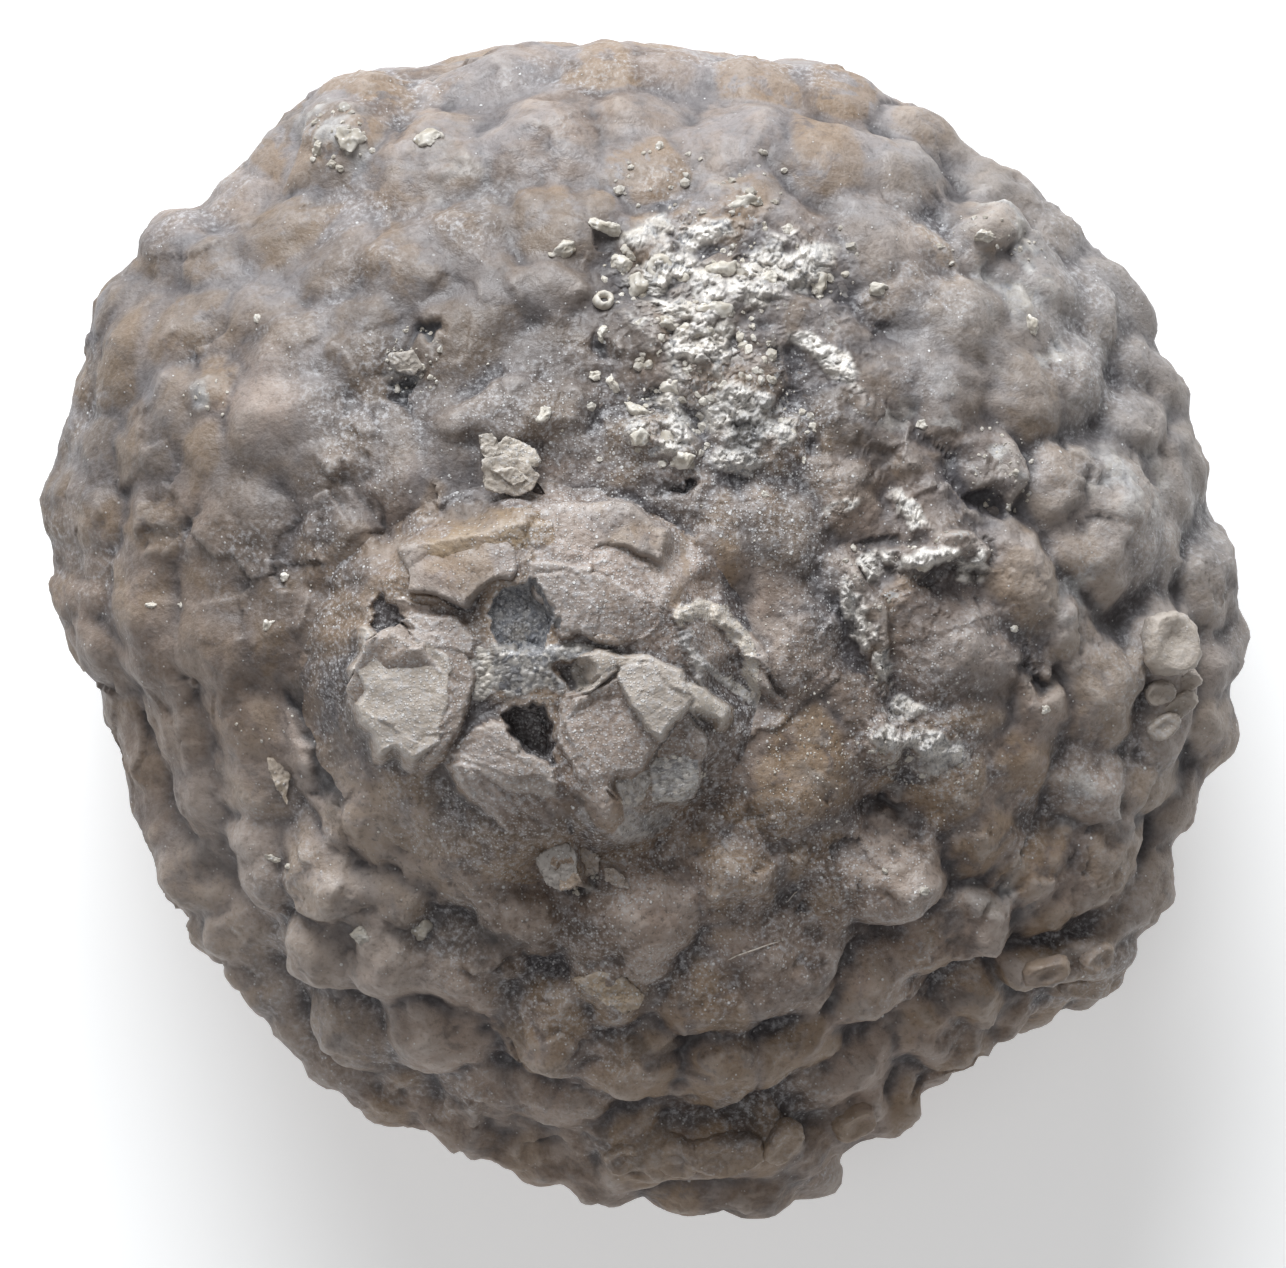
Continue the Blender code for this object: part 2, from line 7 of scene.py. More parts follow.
import bmesh
import bpy
import numpy as np
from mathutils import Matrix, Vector, noise
from mathutils.bvhtree import BVHTree


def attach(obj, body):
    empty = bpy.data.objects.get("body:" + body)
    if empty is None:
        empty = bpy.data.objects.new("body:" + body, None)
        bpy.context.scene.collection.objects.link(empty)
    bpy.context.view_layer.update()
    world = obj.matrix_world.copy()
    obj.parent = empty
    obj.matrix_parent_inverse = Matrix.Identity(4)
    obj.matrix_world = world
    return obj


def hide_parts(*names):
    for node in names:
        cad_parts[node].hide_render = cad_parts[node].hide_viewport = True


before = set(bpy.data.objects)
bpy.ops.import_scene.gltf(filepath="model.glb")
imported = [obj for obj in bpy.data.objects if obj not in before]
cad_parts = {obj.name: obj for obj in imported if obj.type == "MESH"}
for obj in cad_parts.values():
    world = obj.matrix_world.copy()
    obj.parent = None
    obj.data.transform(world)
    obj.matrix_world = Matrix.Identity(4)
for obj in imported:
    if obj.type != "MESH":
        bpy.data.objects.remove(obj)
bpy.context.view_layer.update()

MM = 0.001

# The body's driving dimensions, in millimetres, as in the CAD source.
HEIGHT = 16.0
RIM_HEIGHT = 7.0
CROWN = (-2.1, -0.5)
DOME_POWERS = (2.3, 0.62)  # how full the dome is, and how steep at the rim
FOOT_OUTER = 0.66  # the resting ring's radii, as shares of the rim's
FOOT_INNER = 0.56
FOOT_FADE = 0.26  # how fast the hollow inside the resting ring deepens
NOTCH_SPAN = math.radians(14)  # notches of the outline narrower than this fade towards the crown
NOTCH_FADE = 3
HOLLOW = 1.4
STEM_RADIUS = 2.4
STEM_RIM = (0.7, 0.5)  # half-width and height
STEM_TEETH = (36, 0.07)  # number and height
LUMEN_RADIUS = 0.7
LUMEN_DEPTH = 1.1
STUB_MIDDLE = (-2.5, -0.7)
STUB_RADIUS = 4.3
STUB_SWELL = 1.0
PLATE_BOW = 0.34
PLATE_TILT = 0.17
PLATE_SIZE_RISE = 0.32  # how much higher a plate stands for each millimetre over the common radius
PLATE_COMMON = 1.1
PLATE_STEP = 0.14
PLATE_STRETCH = (-0.1, 0.35)  # how much longer a plate is round the body than up it, least and most
CREASE_SHARPNESS = 8.0
CREASE_DEPTH = 0.6
CREASE_WANDER = 0.5
RAYS = 5
RIM_PLATES = 46
RIM_PLATE_OUT = 0.975
RIM_PLATE_RADIUS = 1.25
FIRST_RAY = math.radians(2)
FAR_BELOW = -9.0
SEED = 7
noise.seed_set(SEED)  # without it, the noise that moves points about would follow the clock

# Rings of the cup's plates: distance out as a share of the rim's, plates to a ray, plate radius.
CUP_RINGS = [(0.28, 1, 1.7), (0.47, 2, 1.5), (0.84, 7, 1.3), (0.93, 8, 1.2), (0.985, 9, 1.2)]

# Where the plates' relief is weaker or stronger: axis of the plan, where that starts, where it is full,
# and the change of strength.
WEAR = [(1, 2.0, 8.0, -0.15), (0, -4.0, -11.0, -0.05), (1, -3.0, -7.0, 0.7), (0, 3.0, 8.0, 0.35)]

# Heights that part the top from the underside: wear and shapes drawn in plan are above, the stem below.
WORN_ABOVE = RIM_HEIGHT * 0.3
DRAWN_ABOVE = RIM_HEIGHT * 0.6
STEM_BELOW = RIM_HEIGHT * 0.4

# How the fine mesh is made.
CUTS = 179
RIM_SHARE = 0.68  # the share of the way from the crown to the middle of the underside that is above the rim
CURL_SHARE = 0.45  # the share of the way from the rim on that ends at the resting ring
SPREAD = 1.45  # over 1, points crowd towards the crown
TRIANGLES = 197000
# The averaging finds hollows and rises for the painted shade and painted light on them.
BEND_STEPS = 14  # rounds of averaging that show small hollows, and broad ones
SAG_STEPS = 120

# The photograph's frame: its size in pixels, the size of a pixel at the rim in millimetres, and the
# camera's height over the rim in metres, far enough off for little perspective.
FRAME_PX = (1286, 1268)
PX = 0.025
CAMERA_HEIGHT = 1.0

# The body's outline from above, in millimetres from its middle.
OUTLINE = [
    (-1.1, 14.7), (0.9, 14.6), (2.9, 14.35), (4.3, 14.2), (5.2, 13.9), (6.4, 13.4), (7.7, 12.65),
    (8.9, 11.8), (10.3, 10.8), (11.4, 9.8), (12.4, 8.5), (13.05, 7.2), (13.7, 5.7), (14.1, 4.35),
    (14.45, 2.85), (14.7, 2.1), (15.0, 0.2), (15.0, -0.5), (14.8, -2.0), (14.5, -3.15), (14.0, -4.4),
    (13.4, -5.5), (13.1, -6.5), (12.6, -7.1), (12.4, -7.65), (12.3, -8.65), (11.7, -9.2), (10.4, -9.8),
    (8.9, -10.3), (8.3, -10.65), (7.3, -11.5), (5.7, -12.65), (4.75, -13.3), (4.5, -13.9), (3.9, -14.3),
    (2.7, -14.65), (1.7, -14.7), (-0.1, -14.5), (-1.1, -14.3), (-2.3, -13.8), (-3.6, -13.4), (-5.3, -12.8),
    (-6.7, -12.15), (-7.45, -11.45), (-8.4, -10.7), (-9.6, -9.7), (-10.1, -8.9), (-10.45, -8.35),
    (-11.1, -7.9), (-11.3, -7.15), (-11.9, -6.3), (-12.2, -5.5), (-12.6, -4.65), (-12.8, -3.9),
    (-13.3, -2.65), (-13.75, -1.65), (-14.3, -0.7), (-14.8, 0.2), (-14.8, 1.0), (-14.65, 1.3),
    (-14.75, 2.1), (-15.0, 3.5), (-14.8, 4.1), (-14.65, 4.7), (-14.4, 6.0), (-14.1, 6.7), (-13.65, 8.1),
    (-13.2, 8.8), (-12.7, 9.35), (-12.45, 10.0), (-11.8, 10.5), (-10.95, 10.65), (-9.8, 11.45),
    (-8.95, 12.5), (-8.1, 13.5), (-7.2, 13.9), (-6.1, 14.1), (-4.3, 14.4), (-3.3, 14.65),
]

# Plates of the dome: middle in plan and radius.
PLATES_ABOVE_CROWN = [
    (-2.6, 5.0, 1.7), (-0.4, 5.0, 1.1), (-4.8, 5.2, 1.1), (-5.1, 3.2, 1.0), (1.2, 4.0, 1.0),
    (2.9, 4.7, 1.2), (5.2, 5.1, 1.4), (4.9, 3.7, 1.0), (-4.1, 7.0, 1.3), (-2.1, 6.9, 1.1), (-0.1, 7.0, 1.1),
    (1.9, 6.5, 1.1), (1.7, 8.2, 1.1), (3.7, 7.7, 1.2), (4.9, 7.1, 1.2), (5.9, 6.1, 1.1), (-4.1, 8.5, 1.0),
    (-2.2, 8.4, 1.2), (6.4, 8.2, 1.2),
]
PLATES_BACK = [
    (-7.6, 12.5, 1.3), (-5.3, 12.2, 1.3), (-2.3, 12.2, 1.7), (-0.1, 13.0, 1.0), (0.2, 11.5, 1.1),
    (2.4, 12.2, 1.3), (4.7, 12.0, 1.3), (6.7, 11.5, 1.3), (-9.0, 10.1, 1.0), (-7.6, 9.0, 1.1),
    (-6.1, 9.2, 1.2), (-4.3, 9.9, 1.1), (-2.1, 9.9, 1.1), (-0.1, 9.9, 1.0), (2.2, 10.5, 1.3),
    (3.9, 9.7, 1.2), (5.7, 9.9, 1.2), (7.3, 9.5, 1.0), (8.6, 9.9, 1.1), (9.9, 9.0, 1.1),
]
PLATES_LEFT = [
    (-12.1, 9.5, 1.1), (-10.6, 9.7, 1.0), (-13.1, 7.1, 1.2), (-11.3, 7.7, 1.1), (-9.7, 8.0, 1.1),
    (-11.8, 5.9, 1.0), (-10.8, 5.7, 0.8), (-8.8, 7.0, 1.2), (-7.3, 7.0, 1.2), (-9.1, 5.0, 1.5),
    (-13.7, 4.7, 1.1), (-12.3, 4.5, 1.1), (-14.1, 3.0, 1.1), (-10.8, 4.2, 1.2), (-7.4, 4.0, 1.1),
    (-6.1, 4.2, 1.0), (-13.9, 1.5, 1.1), (-12.3, 2.5, 1.0), (-12.4, 1.0, 1.1), (-10.3, 2.5, 1.4),
    (-10.6, 1.0, 1.0), (-7.3, 2.2, 1.3), (-8.9, 1.0, 0.9), (-7.5, 0.2, 1.1), (-13.7, -0.5, 1.1),
    (-12.3, -0.8, 1.1), (-10.8, -0.5, 1.2), (-11.6, -2.3, 1.1), (-9.9, -2.3, 1.3), (-7.7, -1.5, 1.2),
    (-9.3, -0.8, 1.0), (-12.7, -4.0, 1.1), (-11.2, -4.0, 1.1), (-9.7, -4.0, 1.2), (-8.2, -3.3, 1.1),
    (-6.8, -4.3, 1.5),
]
PLATES_RIGHT = [
    (7.9, 7.5, 1.3), (9.7, 7.5, 0.9), (11.2, 8.0, 1.1), (12.4, 7.0, 1.0), (7.9, 5.7, 1.3), (9.7, 5.7, 1.2),
    (11.1, 6.2, 1.1), (12.4, 5.0, 1.2), (6.7, 4.0, 1.2), (8.9, 4.0, 1.0), (10.4, 3.7, 1.2),
    (11.8, 3.2, 1.2), (13.3, 3.7, 1.1), (1.9, 2.0, 1.2), (3.4, 2.5, 1.1), (3.7, 0.7, 1.2), (5.2, 1.7, 1.1),
    (7.2, 2.1, 1.2), (6.4, 0.5, 1.1), (8.5, 2.2, 0.9), (9.7, 1.2, 1.4), (11.3, 1.7, 1.1), (12.9, 2.0, 1.1),
    (14.2, 1.0, 1.0), (3.9, -0.8, 1.1), (5.4, -1.8, 1.0), (7.4, -0.5, 1.6), (8.9, 0.0, 1.0),
    (7.9, -2.3, 1.3), (10.6, -0.3, 0.9), (9.8, -1.5, 0.9), (11.4, -1.8, 1.1), (13.0, -0.5, 1.1),
    (14.3, -1.0, 1.0), (13.2, -2.3, 1.0), (3.7, -3.5, 1.9), (2.2, -2.8, 1.0), (5.9, -3.3, 1.1),
    (4.4, -5.3, 1.0), (7.9, -3.8, 1.1), (9.7, -3.3, 1.2), (11.3, -3.9, 1.1), (12.7, -4.0, 1.1),
]
PLATES_FRONT = [
    (-11.3, -6.3, 1.1), (-9.8, -5.8, 1.3), (-8.1, -6.0, 1.2), (-6.3, -6.5, 1.0), (-4.8, -5.8, 1.5),
    (-2.8, -7.3, 1.1), (0.2, -7.0, 1.9), (2.4, -6.0, 1.2), (2.7, -7.8, 1.1), (6.7, -6.3, 1.3),
    (4.9, -6.8, 1.1), (8.6, -5.5, 1.3), (10.2, -5.8, 1.1), (11.7, -5.5, 1.1), (-10.0, -7.9, 1.1),
    (-8.3, -8.3, 1.1), (-6.2, -8.4, 1.4), (-4.2, -8.5, 1.2), (-7.5, -10.0, 1.1), (-5.3, -10.3, 1.2),
    (-2.5, -10.2, 1.3), (-0.6, -9.0, 1.1), (1.4, -9.5, 1.3), (3.7, -8.7, 1.5), (5.7, -9.5, 1.2),
    (7.3, -8.3, 1.3), (8.7, -7.5, 1.1), (8.4, -9.4, 1.0), (10.4, -7.0, 1.0), (11.8, -6.9, 1.0),
    (-6.1, -11.5, 1.1), (-4.3, -11.8, 1.2), (-2.3, -12.0, 1.2), (-0.3, -11.0, 1.3), (1.9, -11.3, 1.3),
    (3.9, -10.8, 1.3), (5.4, -11.3, 1.1), (7.2, -10.5, 1.1), (5.2, -12.4, 0.8), (-0.1, -13.3, 1.1),
    (1.7, -13.4, 1.0), (3.4, -13.0, 1.0), (-1.6, -13.3, 1.0),
]

# Blocks of the broken stub: corners in plan, height of the top, slope to the right and the back.
STUB_BLOCKS = [
    ([(-3.4, 2.9), (-2.0, 3.4), (-0.2, 3.3), (0.7, 2.5), (0.6, 1.3), (-1.3, 1.5), (-3.0, 1.8)],
     1.9, 0.02, -0.25),
    ([(-2.9, 1.5), (-1.3, 1.6), (-0.1, 1.2), (0.5, 0.5), (0.3, -0.3), (-0.6, -0.6), (-2.1, -0.3),
      (-2.7, 0.7)],
     2.1, 0.0, -0.2),
    ([(-6.1, 1.9), (-5.2, 2.5), (-4.0, 2.5), (-2.8, 1.9), (-2.9, 0.9), (-4.3, 0.5), (-5.7, 0.8)],
     2.1, 0.08, -0.3),
    ([(-2.1, -1.6), (-1.1, -0.9), (0.2, -0.8), (1.2, -1.6), (1.7, -2.6), (1.4, -4.0), (-0.1, -4.5),
      (-1.4, -4.0)],
     1.9, -0.12, 0.25),
    ([(-6.8, -0.1), (-6.1, 0.2), (-4.7, -0.2), (-4.3, -1.3), (-4.5, -2.6), (-5.6, -3.0), (-6.6, -2.2),
      (-7.0, -1.4)],
     2.1, 0.1, 0.35),
    ([(-4.7, -2.9), (-3.6, -2.5), (-2.8, -2.8), (-2.4, -3.5), (-0.3, -4.9), (-2.1, -5.2), (-3.6, -4.3)],
     1.6, -0.05, 0.4),
    ([(-4.1, 4.9), (-3.3, 4.9), (-2.5, 4.4), (-2.6, 3.6), (-3.1, 3.3), (-3.9, 3.5)], 0.9, 0.1, -0.3),
    ([(-2.6, -5.5), (-1.7, -5.3), (-1.0, -5.7), (-1.2, -6.4), (-2.0, -6.7), (-2.7, -6.0)], 0.9, 0.0, 0.2),
    ([(-1.8, -8.7), (-0.8, -8.5), (0.0, -9.2), (-0.4, -9.6), (-1.4, -9.1)], 0.6, 0.0, 0.2),
]

# Rounded lumps: middle in plan, half-lengths along and across, turn in degrees, height.
LUMPS = [
    (2.6, -0.4, 1.6, 0.3, -60, 0.35), (5.6, 0.2, 0.3, 1.6, 15, 0.3), (7.4, 1.9, 1.1, 0.4, 5, 0.45),
    (6.0, -2.7, 0.6, 0.6, 0, 0.4), (9.0, 4.0, 0.4, 0.8, 10, 0.4), (8.6, 9.9, 0.9, 0.5, 0, 0.35),
    (-10.9, 5.7, 0.5, 0.6, 0, 0.12), (-7.6, 12.4, 0.7, 0.6, 0, 0.2), (10.5, -0.1, 0.3, 0.9, 10, 0.2),
    (6.9, -6.4, 0.8, 0.6, 0, 0.3), (0.9, 6.7, 1.0, 1.4, 20, 0.3), (2.9, 7.8, 1.6, 0.7, 0, 0.2),
    (0.4, 4.7, 0.8, 0.6, 0, 0.3), (-3.0, 5.4, 2.0, 0.7, 8, 0.35), (-2.4, 8.3, 1.0, 0.6, 0, 0.3),
]

# Pits: middle in plan, half-lengths along and across, turn in degrees, depth, and the share of painted shade
# in them.
PITS = [
    (-2.9, 0.1, 0.9, 0.8, 0, 0.6, 0), (-3.1, -2.2, 0.8, 0.5, 20, 0.8, 0), (-3.0, -1.1, 0.9, 0.6, 0, 0.3, 0),
    (-5.4, 7.3, 0.65, 0.3, 15, 0.3, 0.9), (-5.85, 5.95, 0.35, 0.7, -12, 0.3, 1.0),
    (-5.9, 6.7, 0.7, 0.9, 0, 0.12, 0.35), (6.6, -5.0, 1.1, 0.6, 10, 0.25, 0.2),
    (6.3, -4.75, 0.8, 0.25, 25, 0.15, 0.5), (9.8, -1.2, 0.7, 0.35, -15, 0.25, 0.6),
    (5.3, 4.4, 1.3, 0.5, -10, 0.18, 0.2), (-12.0, 2.4, 0.6, 0.7, 0, 0.2, 0.3),
    (2.9, -9.9, 1.2, 0.5, 0, 0.15, 0.3), (8.4, 3.2, 0.5, 0.3, 0, 0.3, 0.6),
    (1.9, -6.4, 1.0, 0.4, -30, 0.12, 0.2), (-7.9, -2.9, 0.75, 2.2, 15, 0.35, 0.9),
    (1.0, 3.7, 0.4, 0.13, 25, 0.3, 1.0), (0.7, 3.5, 0.5, 0.3, 10, 0.15, 0.5),
    (-5.9, 0.2, 0.35, 0.5, 0, 0.4, 0), (2.6, 5.0, 0.9, 0.35, 30, 0.12, 0.7),
    (-0.9, 7.0, 0.2, 0.5, 5, 0.15, 0.7), (-4.8, -2.9, 2.2, 0.4, -28, 0.15, 0.5),
    (-6.7, 2.6, 0.25, 2.2, 10, 0.12, 0.4), (-0.4, -13.0, 1.2, 0.5, 0, 0.2, 0.4),
    (2.8, -12.3, 1.4, 0.4, 10, 0.2, 0.4), (-4.4, -7.6, 2.4, 0.5, -8, 0.15, 0.5),
    (-3.4, -9.4, 0.5, 1.6, 15, 0.12, 0.5), (3.2, -5.0, 1.6, 0.4, -20, 0.12, 0.4),
    (0.6, -10.4, 2.2, 0.4, 5, 0.15, 0.5), (4.0, -7.6, 0.5, 1.4, 30, 0.12, 0.4),
]

# Arm stubs: first and last place in plan, half-width, half-thickness, height, number of plates.
ARM_STUBS = [
    ((13.0, -0.5), (13.0, -0.6), 0.8, 0.8, 0.4, 1), ((13.4, -1.5), (13.0, -2.9), 0.5, 0.6, 0.2, 4),
    ((9.5, -8.7), (10.6, -8.4), 0.4, 0.6, 0.3, 3), ((11.0, -8.2), (11.7, -8.1), 0.5, 0.6, 0.3, 3),
    ((-0.4, -13.5), (3.4, -13.0), 0.5, 0.8, 0.2, 6), ((5.2, -12.3), (5.7, -12.0), 0.4, 0.6, 0.2, 2),
]

# Steps where one plate stands over the next: places in plan, with the higher side on the left of the
# way, the height of the step and its width.
STEPS = [
    ([(2.4, -2.9), (3.9, -1.8), (5.0, -1.15)], 0.12, 0.6),
    ([(5.5, -0.65), (7.0, -0.1), (8.6, 0.25)], 0.08, 0.6),
    ([(-6.45, 4.85), (-6.8, 5.9), (-7.3, 6.8), (-7.8, 7.2), (-8.5, 8.2)], 0.1, 1.2),
    ([(-8.3, 0.1), (-8.2, 1.6), (-7.9, 2.9)], 0.1, 0.8),
    ([(-7.4, -7.0), (-7.3, -4.5), (-7.1, -3.2)], 0.1, 0.8),
]

# Crusts of matrix: middle in plan, radius, roughness.
CRUSTS = [
    (1.2, 7.2, 2.6, 1.0), (3.0, 5.6, 1.6, 0.9), (4.8, 8.0, 1.6, 0.5), (5.6, 5.2, 1.4, 0.6),
    (5.9, -2.5, 0.9, 1.0), (5.6, 0.6, 1.0, 0.9), (8.0, 2.0, 1.2, 0.9), (8.9, 4.2, 0.9, 1.0),
    (9.3, 8.6, 1.5, 0.7), (8.6, 9.9, 1.0, 0.9), (-1.8, -5.95, 0.9, 1.0), (-2.9, -0.4, 1.1, 0.8),
    (-4.3, -1.0, 0.6, 1.0), (-10.9, 5.7, 0.8, 0.6), (-7.6, 12.2, 1.2, 0.6), (-5.6, 6.6, 1.0, 0.7),
    (7.4, -3.1, 0.9, 0.8), (2.2, 9.7, 2.2, 0.6), (0.4, 4.6, 0.9, 0.9), (2.0, -0.9, 1.0, 0.7),
    (11.9, 3.6, 1.8, 0.6), (-12.3, 2.5, 0.8, 0.35), (7.2, 4.5, 3.2, 0.45), (10.8, 0.8, 1.6, 0.5),
    (7.0, -3.6, 2.2, 0.45), (10.2, 6.6, 2.2, 0.5), (4.2, -3.2, 1.3, 0.4), (11.0, -4.0, 1.4, 0.5),
    (9.0, -6.6, 1.6, 0.4), (4.9, -9.0, 1.4, 0.35), (-4.6, 11.6, 2.4, 0.35),
]

# How far the blocks of the surface lie under the finer ones that cover them.
BLOCK_DROP = 0.45
# How wide the edges of blocks, steps and creases are, and how far out an oval ends, as a share.
BLOCK_EDGE = 0.3
STEP_EDGE = 0.06
CREASE_WIDTH = 0.16
OVAL_EDGE = 1.25
# How steeply the sides of each kind of oval fall.
STUB_STEEP, LUMP_STEEP, PIT_STEEP, ARM_STEEP, CRUST_STEEP, GRIT_STEEP = 0.9, 1.6, 1.2, 1.2, 0.8, 1.1

# What the stone's material reads at each point, most of it from 0 to 1: a fresh break, the ochre heart of a
# plate, paleness, the tone of a grain, a painted highlight along an edge, crust, painted shade in small and
# broad hollows with painted light on rises, painted shade in a crease, dust, an ochre tint and painted
# shade in pits.
LOOKS = ("fresh", "core", "pale", "tone", "edge", "crust", "hollow", "deep", "crease", "dust", "ochre",
         "dark")

# Fine patches lie this far over the surface, and their borders this far under it.
SKIN = 0.012
SUNK = 0.05
PATCH_DEPTH = 0.4
# The squares find hollows and rises for the painted shade and painted light on them.
PATCH_BEND = 5  # half-sizes, in points, of the squares that show small hollows, and broad ones
PATCH_SAG = 26

# The stub's blocks: how sharply they join, a height near their middle, how far the stone between them
# lies under their tops, how far out of a block with sides of 45 degrees it reaches, how much the tops
# bow, and the distance between the fine ribs of the long chip's flank.
STUB_SHARPNESS = 26.0
STUB_MIDDLE_HEIGHT = 1.8
STUB_FUSED_DROP = 0.11
STUB_REACH = 0.37
STUB_BOW = 0.06
RIB_LENGTH = 0.3

